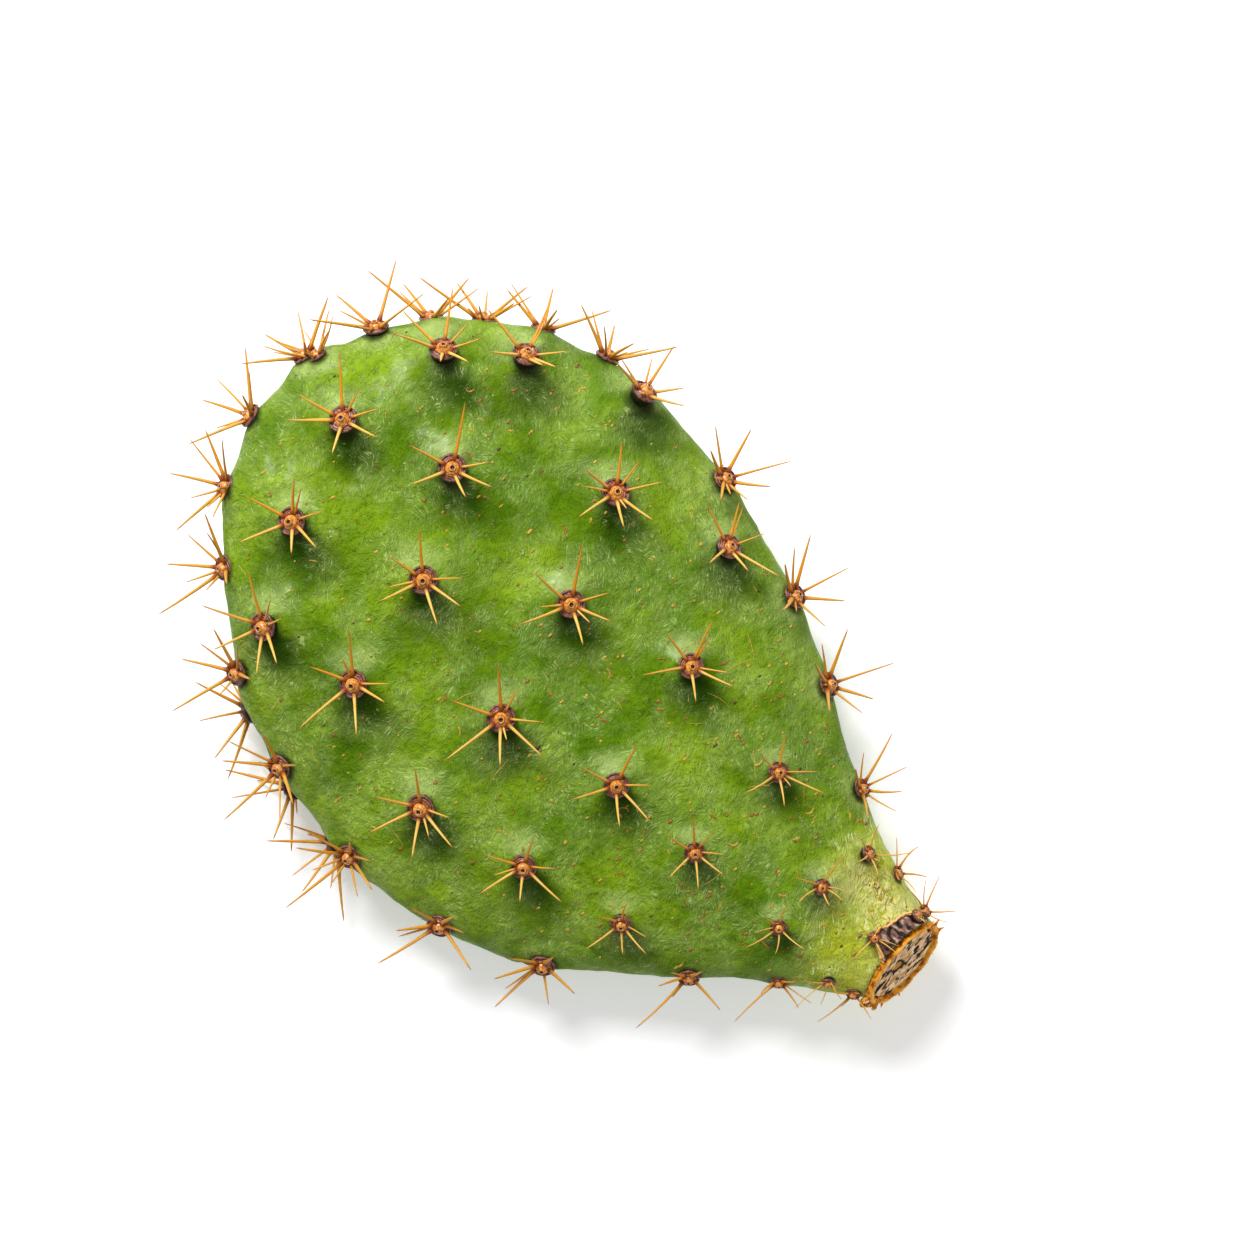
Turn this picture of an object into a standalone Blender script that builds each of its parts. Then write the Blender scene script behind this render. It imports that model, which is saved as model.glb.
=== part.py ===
"""A prickly pear pad, picked and lying on its back.

Two sub-parts: the fleshy pad, with its areole bosses and spines grown from it as one body, and the
corky callus that closes its cut end. Units are metres and +Z is up. The pad lies along +Y, from the cut
end to the tip. The origin is on the surface that the pad rests on, under the middle of its bounding box.
"""

import math
import random
from dataclasses import dataclass, replace

import bmesh
import bpy
from mathutils import Matrix, Vector

MM = 0.001

# Body: an egg-shaped outline, swept along its length by superellipse sections.
LENGTH = 200 * MM
HALF_WIDTHS = [w * MM for w in (11.6, 13.2, 19.7, 33.9, 52.4, 62.5, 63.5, 55.5, 37.9, 19.9, 0)]
OFFSETS = [w * MM for w in (-0.2, -0.8, -2.6, -4.7, -5.4, -3.2, 0.8, 3.4, 5.9, 7.1, 7.5)]
HALF_THICK = 12.5 * MM  # over the broad part
NECK_HALF_THICK = 8.8 * MM  # at the cut
NECK_LENGTH = 95 * MM  # over which the neck thickens
SHOULDER = 132 * MM  # where the thickness starts to round off towards the tip
NECK_POWER, BODY_POWER = 2.1, 2.7  # roundness of the sections
CROWN_ACROSS = 4.5 * MM  # how far the edges droop below the middle
CROWN_ALONG = 2.2 * MM
CROWN_CENTRE = 112 * MM
WAVE, WAVE_ACROSS, WAVE_ALONG = 0.5 * MM, 17 * MM, 23 * MM  # slow unevenness of the front
RINGS, RING_POINTS = 41, 60

# Cut end: a plane that leans back, closed by a dished callus with a raised lip.
CUT_Y = 0.3 * MM
CUT_LEAN = math.radians(27)
CUT_BLEND = 30 * MM  # the lean fades out over this length
CALLUS_GAP = 0.3 * MM
CALLUS_LIP = 2.4 * MM
CALLUS_DISH = 1.2 * MM
CALLUS_SIDES = 36
NUB_COUNT, NUB_SIZE = 13, 1.1 * MM

# Areoles: a cushion on a broad swelling of the body, with a fan of spines.
SWELLING, SWELLING_REACH = 2.4 * MM, 9.5 * MM
RIM_SWELLING = 1.0 * MM
BOSS_RADIUS, BOSS_HEIGHT, BOSS_ROOT = 2.9 * MM, 1.4 * MM, 2.2 * MM
BOSS_SIDES = 8
SPINE_RADIUS, SPINE_SIDES = 0.42 * MM, 3
SPINE_ROOT = 1.4 * MM
FACE_LEAN, RIM_LEAN, BACK_LEAN = (math.radians(angle) for angle in (60, 48, 84))
# Bearing round the areole from +X towards +Y, in degrees, and length of each spine.
FACE_FAN = ((30, 13 * MM), (95, 12 * MM), (155, 14 * MM), (225, 10 * MM), (275, 12.5 * MM))
RIM_FAN = ((20, 14 * MM), (110, 12 * MM), (165, 16 * MM), (290, 11 * MM))
BACK_FAN = ((60, 10 * MM), (150, 9 * MM), (240, 9 * MM), (330, 10 * MM))
SEED = 41

# The pad rests on three underside bosses with worn flat ends, round its centre of mass.
REST_LEVEL = -17.3 * MM  # below the body's mid plane, before the model is lifted on to its origin
REST_BEARINGS, REST_RADIUS = (90, 205, 335), 38 * MM
MASS_CENTRE = Vector((0.0, 112 * MM, 0.0))
FOOT_HEIGHT = 1.7 * MM  # of a foot's boss above its swelling
CLEAR_OF_REST = 0.5 * MM


@dataclass(frozen=True)
class Row:
    """One row of areoles across a face: y = start + slope x + bend x², with a jog up and down in turn."""

    start: float
    slope: float
    bend: float  # per millimetre
    jog: float
    places: tuple  # x of each areole, in millimetres
    size: float = 1.0


FACE_ROWS = (
    Row(9.8, -0.344, -0.0162, 0, (-13.8, 0.1, 9.2), 0.5),
    Row(26.9, -0.2, 0, -0.5, (-11.9, 1.3, 13.4), 0.6),
    Row(53.8, -0.11, 0, 0, (-34.6, -11.2, 15), 0.75),
    Row(79.4, 0.09, 0.005, 0, (-38.8, -11, 20.9, 47.1), 0.9),
    Row(111.1, 0.16, 0.0032, 0, (-43.6, -16.2, 14.2, 40.2, 61)),
    Row(147.1, 0.28, 0, 2.4, (-31.7, -3.3, 20.5, 50.6)),
    Row(179.6, 0.184, -0.0077, 0.8, (-34.6, -12.1, 13, 39.3)),
)
BACK_ROWS = (
    Row(30, 0.1, 0, 0, (-10, 10), 0.6),
    Row(58, -0.1, 0, 0, (-24, 3, 28), 0.8),
    Row(86, 0.05, 0, 1.5, (-42, -16, 13, 41)),
    Row(114, -0.08, 0, -1.5, (-34, -3, 27, 52)),
    Row(143, 0.06, 0, 1.5, (-42, -16, 14, 43)),
    Row(171, 0, 0, 0, (-27, 3, 33)),
)
# Stations along the body of the areoles on its rim, in millimetres, from the cut to the tip. Most sit a
# little towards the front. Those of the last two lines sit on the edge itself, and just behind it.
LEFT_RIM = (3.2, 19.4, 36.9, 65.1, 89.4, 115.9, 141.8, 163.3, 181.2, 193, 199.3)
RIGHT_RIM = (2.8, 14.1, 34.3, 56.1, 75.5, 105.6, 190.1, 198.4)
RIGHT_EDGE = (144.9, 160.4, 172, 181.5)
LEFT_BEHIND = (120.4, 136.7, 155.9)
RIM_TURN, BEHIND_TURN = math.radians(15), math.radians(9)
RIM_SIZE_AT_CUT, RIM_SIZE, RIM_GROWS_OVER = 0.5, 0.9, 60 * MM
FRONT, BACK = 1, -1


@dataclass(frozen=True)
class Areole:
    """Where a cushion sits on the plain body, which way it faces, how big it is and its spines."""

    place: Vector
    facing: Vector
    size: float
    swelling: float
    fan: tuple
    lean: float


def smooth(low, high, value):
    """0 below low, 1 above high, and an even S between them."""
    t = min(1.0, max(0.0, (value - low) / (high - low)))
    return t * t * (3 - 2 * t)


def along(values, at):
    """A Catmull-Rom curve through evenly spaced values, where at counts in steps."""
    i = min(int(at), len(values) - 2)
    t = at - i
    start, end = values[i], values[i + 1]
    before = values[i - 1] if i > 0 else 2 * start - end
    after = values[i + 2] if i + 2 < len(values) else 2 * end - start
    pull_in, pull_out = (end - before) / 2, (after - start) / 2
    bend = 3 * (end - start) - 2 * pull_in - pull_out
    return start + t * (pull_in + t * (bend + t * (pull_in + pull_out - 2 * (end - start))))


def raised(value, power):
    """A power that keeps its sign."""
    return math.copysign(abs(value) ** power, value)


def section(y):
    """Half width, sideways offset, half thickness and superellipse power of the body at a station."""
    y = min(LENGTH, max(0.0, y))
    step = math.acos(1 - 2 * y / LENGTH) / math.pi * (len(HALF_WIDTHS) - 1)
    filled = smooth(0, NECK_LENGTH, y)
    thick = NECK_HALF_THICK + (HALF_THICK - NECK_HALF_THICK) * filled
    power = NECK_POWER + (BODY_POWER - NECK_POWER) * filled
    past = max(0.0, (y - SHOULDER) / (LENGTH - SHOULDER))
    thick *= (1 - min(1.0, past) ** power) ** (1 / power)
    return along(HALF_WIDTHS, step), along(OFFSETS, step), thick, power


def skin(y, turn):
    """A point of the plain body: y is its station, turn goes round the section from +X over the front."""
    half_width, offset, thick, power = section(y)
    x = offset + half_width * raised(math.cos(turn), 2 / power)
    rise = thick * raised(math.sin(turn), 2 / power)
    droop = CROWN_ACROSS * (x / max(HALF_WIDTHS)) ** 2
    droop += CROWN_ALONG * ((y - CROWN_CENTRE) / CROWN_CENTRE) ** 2
    on_front = 1 - smooth(0, 1, -rise / HALF_THICK)
    wave = WAVE * on_front * math.sin(x / WAVE_ACROSS + 1) * math.sin(y / WAVE_ALONG)
    lean = rise * math.tan(CUT_LEAN) * (1 - smooth(0, CUT_BLEND, y))
    return Vector((x, y + lean, rise + wave - droop))


def facing(y, turn):
    """The plain body's outward direction at a station and turn."""
    small_y, small_turn = 0.4 * MM, 0.02
    round_it = skin(y, turn + small_turn) - skin(y, turn - small_turn)
    along_it = skin(y + small_y, turn) - skin(y - small_y, turn)
    out = along_it.cross(round_it).normalized()
    inside = Vector((section(y)[1], min(y, SHOULDER), 0))
    return out if out.dot(skin(y, turn) - inside) > 0 else -out


def on_face(x, y, side):
    """Station and turn of the body's point over (x, y), on its front or back."""
    station = y
    for _ in range(6):
        half_width, offset, _, power = section(station)
        share = max(-1.0, min(1.0, (x - offset) / half_width))
        turn = side * math.acos(raised(share, power / 2))
        station += y - skin(station, turn).y
    return station, turn


def areoles():
    """Every areole: rows across both faces, and a line round the rim."""
    found = []
    faces = ((FRONT, FACE_ROWS, FACE_LEAN, FACE_FAN), (BACK, BACK_ROWS, BACK_LEAN, BACK_FAN))
    for side, rows, lean, fan in faces:
        for row in rows:
            for i, x in enumerate(row.places):
                y = row.start + row.slope * x + row.bend * x * x + row.jog * (1 if i % 2 == 0 else -1)
                at = on_face(x * MM, y * MM, side)
                found.append(Areole(skin(*at), facing(*at), row.size, SWELLING * row.size, fan, lean))
    rim = [(y * MM, math.pi - RIM_TURN) for y in LEFT_RIM]
    rim += [(y * MM, RIM_TURN) for y in RIGHT_RIM]
    rim += [(y * MM, 0.0) for y in RIGHT_EDGE]
    rim += [(y * MM, math.pi + BEHIND_TURN) for y in LEFT_BEHIND]
    for at in rim:
        size = RIM_SIZE_AT_CUT + (RIM_SIZE - RIM_SIZE_AT_CUT) * smooth(0, RIM_GROWS_OVER, at[0])
        found.append(Areole(skin(*at), facing(*at), size, RIM_SWELLING * size, RIM_FAN, RIM_LEAN))
    return found


def swelling(point, cushions):
    """How far the areoles' swellings lift the body at a point."""
    lift = 0.0
    for a in cushions:
        away = (point - a.place).length / (SWELLING_REACH * a.size)
        lift += a.swelling * math.exp(-(away**2))
    return lift


def top_of(areole, cushions):
    """The top of an areole's swelling."""
    return areole.place + areole.facing * swelling(areole.place, cushions)


def ring(y):
    """One ring of plain skin points with their directions, evenly spaced round the section."""
    fine = 8 * RING_POINTS
    turns = [2 * math.pi * i / fine for i in range(fine + 1)]
    points = [skin(y, turn) for turn in turns]
    lengths = [0.0]
    for a, b in zip(points, points[1:]):
        lengths.append(lengths[-1] + (b - a).length)
    chosen, at = [], 0
    for i in range(RING_POINTS):
        goal = lengths[-1] * i / RING_POINTS
        while lengths[at + 1] < goal:
            at += 1
        part = (goal - lengths[at]) / (lengths[at + 1] - lengths[at])
        chosen.append(turns[at] + part * (turns[at + 1] - turns[at]))
    return [(skin(y, turn), facing(y, turn)) for turn in chosen]


def new_object(name, bm, material=None):
    """A linked object that holds the bmesh, which is freed."""
    mesh = bpy.data.meshes.new(name)
    bm.to_mesh(mesh)
    bm.free()
    made = bpy.data.objects.new(name, mesh)
    bpy.context.scene.collection.objects.link(made)
    if material:
        mesh.materials.append(material)
    return made


def finish_material(name, colour, roughness):
    """A plain Principled material."""
    material = bpy.data.materials.new(name)
    material.use_nodes = True
    shader = material.node_tree.nodes["Principled BSDF"]
    shader.inputs["Base Color"].default_value = (*colour, 1.0)
    shader.inputs["Roughness"].default_value = roughness
    shader.inputs["Metallic"].default_value = 0.0
    return material


def stations():
    """Stations of the rings, from the cut to just short of the tip, closer together at the tip."""
    crowding = 2.0
    span = math.hypot(RINGS, crowding) - crowding
    steps = [(math.hypot(k, crowding) - crowding) / span for k in range(RINGS, 0, -1)]
    return [LENGTH - (LENGTH - CUT_Y) * step for step in steps]


def build_body(cushions):
    """The fleshy body: rings of skin lifted by the swellings, closed by a flat cut and a point at the tip."""
    bm = bmesh.new()
    loops = []
    for y in stations():
        points = [place + out * swelling(place, cushions) for place, out in ring(y)]
        if not loops:  # the cut is flat, so its ring stays plain
            points = [place for place, _ in ring(y)]
        loops.append([bm.verts.new(point) for point in points])
    for lower, upper in zip(loops, loops[1:]):
        for i, corner in enumerate(lower):
            after = (i + 1) % RING_POINTS
            bm.faces.new((corner, upper[i], upper[after], lower[after]))
    bm.faces.new(loops[0])
    tip = bm.verts.new(skin(LENGTH, 0.0))
    for i, corner in enumerate(loops[-1]):
        bm.faces.new((corner, tip, loops[-1][(i + 1) % RING_POINTS]))
    bmesh.ops.recalc_face_normals(bm, faces=bm.faces)
    bmesh.ops.triangulate(bm, faces=bm.faces)
    return new_object("pad", bm, finish_material("pad skin", (0.19, 0.29, 0.035), 0.45))


def cone(name, root, direction, base_radius, end_radius, length, sides):
    """A closed cone or frustum from its root along a direction."""
    bm = bmesh.new()
    bmesh.ops.create_cone(
        bm, cap_ends=True, segments=sides, radius1=base_radius, radius2=end_radius, depth=length
    )
    turn = Vector((0, 0, 1)).rotation_difference(direction).to_matrix().to_4x4()
    bm.transform(Matrix.Translation(root + direction * length / 2) @ turn)
    return new_object(name, bm)


def boss(areole, top):
    """The areole's woody cushion."""
    root = top - areole.facing * BOSS_ROOT * areole.size
    length = (BOSS_ROOT + BOSS_HEIGHT) * areole.size
    radius = BOSS_RADIUS * areole.size
    return cone("boss", root, areole.facing, radius * 1.1, radius * 0.62, length, BOSS_SIDES)


def rest_boss(areole, top):
    """An underside cushion whose worn flat end is level, on the surface that the pad rests on."""
    down = Vector((0, 0, -1))
    root = top - down * BOSS_ROOT
    length = root.z - REST_LEVEL
    return cone("boss", root, down, BOSS_RADIUS * 1.1, BOSS_RADIUS * 0.7, length, BOSS_SIDES)


def spines(areole, top, rng):
    """The areole's fan of spines. None reaches down to the surface that the pad rests on."""
    across = Vector((1, 0, 0)) if abs(areole.facing.x) < 0.8 else Vector((0, 1, 0))
    side = (across - areole.facing * across.dot(areole.facing)).normalized()
    other = areole.facing.cross(side) * (1 if areole.facing.z >= 0 else -1)
    made = []
    for bearing, length in areole.fan:
        angle = math.radians(bearing + rng.uniform(-15, 15))
        lean = areole.lean + math.radians(rng.uniform(-8, 4))
        reach = length * rng.uniform(0.78, 1.12) * (0.1 + 0.9 * areole.size)
        sideways = side * math.cos(angle) + other * math.sin(angle)
        start = top + sideways * BOSS_RADIUS * 0.5 * areole.size
        direction = areole.facing * math.cos(lean) + sideways * math.sin(lean)
        lowest = (REST_LEVEL + CLEAR_OF_REST - start.z) / reach
        if direction.z < lowest:
            level = direction.xy.normalized() * math.sqrt(1 - lowest * lowest)
            direction = Vector((level.x, level.y, lowest))
        radius = SPINE_RADIUS * (0.5 + 0.5 * areole.size)
        root = start - direction * SPINE_ROOT * areole.size
        whole = reach + SPINE_ROOT * areole.size
        made.append(cone("spine", root, direction, radius, 0, whole, SPINE_SIDES))
    return made


def join(body, repeats):
    """One union of the body with all its repeats, whose objects are then removed."""
    group = bpy.data.collections.new("repeats of " + body.name)
    bpy.context.scene.collection.children.link(group)
    for piece in repeats:
        group.objects.link(piece)
    union = body.modifiers.new("join", "BOOLEAN")
    union.operation = "UNION"
    union.operand_type = "COLLECTION"
    union.collection = group
    union.solver = "MANIFOLD"
    with bpy.context.temp_override(object=body, active_object=body, selected_objects=[body]):
        bpy.ops.object.modifier_apply(modifier=union.name)
    for piece in repeats:
        bpy.data.objects.remove(piece)
    bpy.data.collections.remove(group)


def set_feet(cushions):
    """Swell the three underside areoles nearest to the rest bearings, to stand on the rest level.

    Returns all the areoles, and the three that carry the pad.
    """
    under = [a for a in cushions if a.facing.z < -0.9 and a.size == 1.0]
    feet = []
    for bearing in REST_BEARINGS:
        angle = math.radians(bearing)
        goal = MASS_CENTRE + Vector((math.cos(angle), math.sin(angle), 0)) * REST_RADIUS
        nearest = min(under, key=lambda a: (a.place.xy - goal.xy).length)
        swell = nearest.place.z - (REST_LEVEL + FOOT_HEIGHT)
        feet.append(replace(nearest, swelling=swell))
        cushions[cushions.index(nearest)] = feet[-1]
    return cushions, feet


def build_pad():
    """The whole pad, with its cushions and spines, as one body."""
    rng = random.Random(SEED)
    cushions, feet = set_feet(areoles())
    repeats = []
    for areole in cushions:
        top = top_of(areole, cushions)
        repeats.append(rest_boss(areole, top) if areole in feet else boss(areole, top))
        repeats += spines(areole, top, rng)
    body = build_body(cushions)
    join(body, repeats)
    return body


def build_callus():
    """The corky scab on the cut: a dished disc with a raised lip and a fringe of nubs round it."""
    half_width, offset, thick, _ = section(CUT_Y)
    # Radius as a share of the cut's, and height above the cut, from the middle of the back to the dish.
    profile = (
        (0, CALLUS_GAP),
        (0.93, CALLUS_GAP),
        (1.05, CALLUS_GAP + 0.35 * CALLUS_LIP),
        (1.04, 0.8 * CALLUS_LIP),
        (0.96, CALLUS_LIP),
        (0.86, 0.85 * CALLUS_LIP),
        (0.74, CALLUS_DISH),
        (0.4, 0.85 * CALLUS_DISH),
        (0, CALLUS_DISH),
    )
    bm = bmesh.new()
    corners = [bm.verts.new((share, 0, height)) for share, height in profile]
    edges = [bm.edges.new(pair) for pair in zip(corners, corners[1:])]
    bmesh.ops.spin(
        bm, geom=corners + edges, cent=(0, 0, 0), axis=(0, 0, 1), angle=2 * math.pi, steps=CALLUS_SIDES
    )
    bmesh.ops.remove_doubles(bm, verts=bm.verts, dist=0.01 * MM)
    bmesh.ops.recalc_face_normals(bm, faces=bm.faces)
    high = thick / math.cos(CUT_LEAN)
    bm.transform(Matrix.Diagonal((half_width, high, 1, 1)))
    disc = new_object("callus", bm, finish_material("dry callus", (0.42, 0.26, 0.12), 0.8))
    rng = random.Random(SEED)
    nubs = []
    for i in range(NUB_COUNT):
        angle = 2 * math.pi * (i + rng.uniform(-0.2, 0.2)) / NUB_COUNT
        out = Vector((math.cos(angle), math.sin(angle), 0.35)).normalized()
        root = Vector((half_width * math.cos(angle), high * math.sin(angle), 0.62 * CALLUS_LIP)) * 0.97
        root.z = 0.62 * CALLUS_LIP
        nubs.append(cone("nub", root, out, NUB_SIZE * 0.5, NUB_SIZE * 0.25, NUB_SIZE * 1.3, 5))
    join(disc, nubs)
    middle = skin(CUT_Y, math.pi / 2).lerp(skin(CUT_Y, -math.pi / 2), 0.5)
    middle.x = offset
    stand = Matrix.Rotation(math.pi / 2 - CUT_LEAN, 4, "X")
    disc.data.transform(Matrix.Translation(middle) @ stand)
    return disc


def place_on_origin(parts):
    """Move the meshes so that the bounding box stands on the origin, centred."""
    points = [corner.co for part in parts for corner in part.data.vertices]
    low = Vector([min(point[k] for point in points) for k in range(3)])
    high = Vector([max(point[k] for point in points) for k in range(3)])
    shift = Matrix.Translation((-(low.x + high.x) / 2, -(low.y + high.y) / 2, -low.z))
    for part in parts:
        part.data.transform(shift)
        part.data.shade_smooth()
        part.data.set_sharp_from_angle(angle=math.radians(50))


def main():
    """Clear the scene and build both sub-parts."""
    for old in list(bpy.data.objects):
        bpy.data.objects.remove(old)
    place_on_origin([build_pad(), build_callus()])


main()
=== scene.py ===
"""Dresses a prickly pear pad, picked and lying on its back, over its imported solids.

Sizes are in millimetres in the pad's own space. Its origin is in the middle of the cut end, +Y runs to the
tip and +Z is out of the front. Meshes are turned into metres in the frame's space as they are made.
"""

import logging
import math
import random
from dataclasses import dataclass, field, replace
from enum import Enum
from typing import Any, Sequence

import bpy
import numpy as np
from mathutils import Matrix, Vector, noise


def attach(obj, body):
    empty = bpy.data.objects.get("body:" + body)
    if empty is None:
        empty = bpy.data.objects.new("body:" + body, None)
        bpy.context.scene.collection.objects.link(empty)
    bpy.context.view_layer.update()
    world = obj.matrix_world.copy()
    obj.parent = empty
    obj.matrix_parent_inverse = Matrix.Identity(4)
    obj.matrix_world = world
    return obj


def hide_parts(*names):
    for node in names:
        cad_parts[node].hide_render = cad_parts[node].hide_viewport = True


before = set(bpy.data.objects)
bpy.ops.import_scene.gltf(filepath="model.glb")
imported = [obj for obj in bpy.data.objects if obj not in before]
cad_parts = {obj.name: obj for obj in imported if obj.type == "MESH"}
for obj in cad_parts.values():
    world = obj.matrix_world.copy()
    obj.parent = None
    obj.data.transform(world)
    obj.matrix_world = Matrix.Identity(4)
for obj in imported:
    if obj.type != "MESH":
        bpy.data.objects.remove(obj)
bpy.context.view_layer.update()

Array = np.ndarray
Colour = tuple[float, float, float]
Faces = list[tuple[int, ...]]
Fan = tuple[tuple[float, float], ...]
Profile = Sequence[tuple[float, float]]
Span = tuple[float, float]

LOG = logging.getLogger("pad")
MM = 0.001
LIE = np.array((2.125, -101.779, 17.3))  # the pad's own origin in the frame
SKYWARD = np.array((0.766, 0.643, 0.0))  # across the front, towards the light
LEEWARD = np.array((0.643, -0.766, 0.0))  # across the front, square to that
WHITE = (1.0, 1.0, 1.0)


class Side(Enum):
    """Where on the pad an areole grows."""

    FRONT = 1
    BACK = -1
    RIM = 0


# ---------------------------------------------------------------------------------------------------------
# Number work


def smooth(low: float, high: float, value: Array) -> Array:
    """Return 0 below low, 1 above high, and an even S between them."""
    t = np.clip((np.asarray(value, float) - low) / (high - low), 0.0, 1.0)
    return t * t * (3 - 2 * t)


def bell(value: Array, width: Array) -> Array:
    """Return 1 where the value is 0, falling off on both sides within about the width."""
    return np.exp(-((value / width) ** 2))


def along(values: Sequence[float], at: Array) -> Array:
    """Follow a Catmull-Rom curve through evenly spaced values.

    Args:
        values: what the curve goes through.
        at: how far along it, in steps.

    Returns:
        The curve's value at each place.
    """
    v = np.asarray(values, float)
    wide = np.concatenate(([2 * v[0] - v[1]], v, [2 * v[-1] - v[-2]]))
    i = np.minimum(np.asarray(at).astype(int), len(v) - 2)
    t = at - i
    before, start, end, after = wide[i], wide[i + 1], wide[i + 2], wide[i + 3]
    pull_in, pull_out = (end - before) / 2, (after - start) / 2
    bend = 3 * (end - start) - 2 * pull_in - pull_out
    return start + t * (pull_in + t * (bend + t * (pull_in + pull_out - 2 * (end - start))))


def raised(value: Array, power: Array) -> Array:
    """Return a power that keeps its sign."""
    return np.sign(value) * np.abs(value) ** power


def unit(vectors: Array) -> Array:
    """Return the vectors at length one."""
    return vectors / np.maximum(np.linalg.norm(vectors, axis=-1, keepdims=True), 1e-12)


@dataclass(frozen=True)
class Lumps:
    """One layer of smooth unevenness: how high its lumps are, how far apart they lie, and which pattern."""

    height: float
    size: float
    seed: float

    def at(self, points: Array) -> Array:
        """Measure the layer.

        Args:
            points: places in millimetres.

        Returns:
            One value for each point, between about the height and its opposite.
        """
        shift = Vector((self.seed * 7.3, self.seed * 3.1, self.seed * 5.7))
        flat = np.asarray(points, float).reshape(-1, 3) / self.size
        found = np.fromiter((noise.noise(Vector(p) + shift) for p in flat), float, len(flat))
        return self.height * found.reshape(np.asarray(points).shape[:-1])


def uneven(points: Array, layers: Sequence[Lumps]) -> Array:
    """Return the sum of several layers of unevenness at the points."""
    return sum(layer.at(points) for layer in layers)


# ---------------------------------------------------------------------------------------------------------
# The pad's form


@dataclass(frozen=True)
class PadForm:
    """The plain body: an egg-shaped outline swept along its length by superellipse sections."""

    length: float = 200.0
    half_widths: tuple[float, ...] = (11.6, 13.2, 19.7, 33.9, 52.4, 62.5, 63.5, 55.5, 37.9, 19.9, 0)
    offsets: tuple[float, ...] = (-0.2, -0.8, -2.6, -4.7, -5.4, -3.2, 0.8, 3.4, 5.9, 7.1, 7.5)
    half_thick: float = 12.5
    neck_half_thick: float = 8.8
    neck_length: float = 95.0
    shoulder: float = 132.0
    neck_power: float = 2.1
    body_power: float = 2.7
    crown_across: float = 4.5
    crown_along: float = 2.2
    crown_centre: float = 112.0
    wave: float = 0.5
    wave_across: float = 17.0
    wave_along: float = 23.0
    cut_y: float = 0.3
    cut_lean: float = math.radians(27)
    cut_blend: float = 30.0
    turn_step: float = 0.02
    station_step: float = 0.4
    rounds: int = 6

    def section(self, y: Array) -> tuple[Array, Array, Array, Array]:
        """Measure the sections across the body.

        Args:
            y: their stations from the cut.

        Returns:
            Half width, sideways offset, half thickness and superellipse power.
        """
        y = np.clip(np.asarray(y, float), 0.0, self.length)
        step = np.arccos(1 - 2 * y / self.length) / math.pi * (len(self.half_widths) - 1)
        filled = smooth(0, self.neck_length, y)
        thick = self.neck_half_thick + (self.half_thick - self.neck_half_thick) * filled
        power = self.neck_power + (self.body_power - self.neck_power) * filled
        past = np.clip((y - self.shoulder) / (self.length - self.shoulder), 0.0, 1.0)
        thick = thick * (1 - past**power) ** (1 / power)
        return along(self.half_widths, step), along(self.offsets, step), thick, power

    def skin(self, y: Array, turn: Array) -> Array:
        """Find points of the plain body.

        Args:
            y: station from the cut.
            turn: angle round the section, from +X over the front.

        Returns:
            The points, in millimetres.
        """
        y = np.asarray(y, float)
        half_width, offset, thick, power = self.section(y)
        x = offset + half_width * raised(np.cos(turn), 2 / power)
        rise = thick * raised(np.sin(turn), 2 / power)
        droop = self.crown_across * (x / max(self.half_widths)) ** 2
        droop = droop + self.crown_along * ((y - self.crown_centre) / self.crown_centre) ** 2
        on_front = 1 - smooth(0, 1, -rise / self.half_thick)
        wave = self.wave * on_front * np.sin(x / self.wave_across + 1) * np.sin(y / self.wave_along)
        lean = rise * math.tan(self.cut_lean) * (1 - smooth(0, self.cut_blend, y))
        return np.stack(np.broadcast_arrays(x, y + lean, rise + wave - droop), axis=-1)

    def facing(self, y: Array, turn: Array) -> Array:
        """Find the plain body's outward directions.

        Args:
            y: station from the cut.
            turn: angle round the section, from +X over the front.

        Returns:
            One direction of length one for each place.
        """
        y = np.asarray(y, float)
        round_it = self.skin(y, turn + self.turn_step) - self.skin(y, turn - self.turn_step)
        along_it = self.skin(y + self.station_step, turn) - self.skin(y - self.station_step, turn)
        out = unit(np.cross(along_it, round_it))
        offset = self.section(y)[1]
        inside = np.stack(np.broadcast_arrays(offset, np.minimum(y, self.shoulder), 0.0), axis=-1)
        outward = np.sum(out * (self.skin(y, turn) - inside), axis=-1, keepdims=True)
        return np.where(outward > 0, out, -out)

    def on_face(self, x: Array, y: Array, side: Side) -> tuple[Array, Array]:
        """Find the places of the body that lie over or under (x, y).

        Args:
            x: across the pad.
            y: along it.
            side: its front or its back.

        Returns:
            The station and the turn of each.
        """
        station = np.asarray(y, float).copy()
        turn = station * 0
        for _ in range(self.rounds):
            half_width, offset, _, power = self.section(station)
            share = np.clip((x - offset) / np.maximum(half_width, 1e-6), -1.0, 1.0)
            turn = side.value * np.arccos(raised(share, power / 2))
            station = station + y - self.skin(station, turn)[..., 1]
        return station, turn


@dataclass(frozen=True)
class Row:
    """One row of areoles across a face: y = start + slope x + bend x², with a jog up and down in turn."""

    start: float
    slope: float
    bend: float
    jog: float
    places: tuple[float, ...]
    size: float = 1.0

    def height(self, i: int) -> float:
        """Return how far along the pad the areole of that number lies."""
        x = self.places[i]
        return self.start + self.slope * x + self.bend * x * x + self.jog * (1 if i % 2 == 0 else -1)


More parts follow.
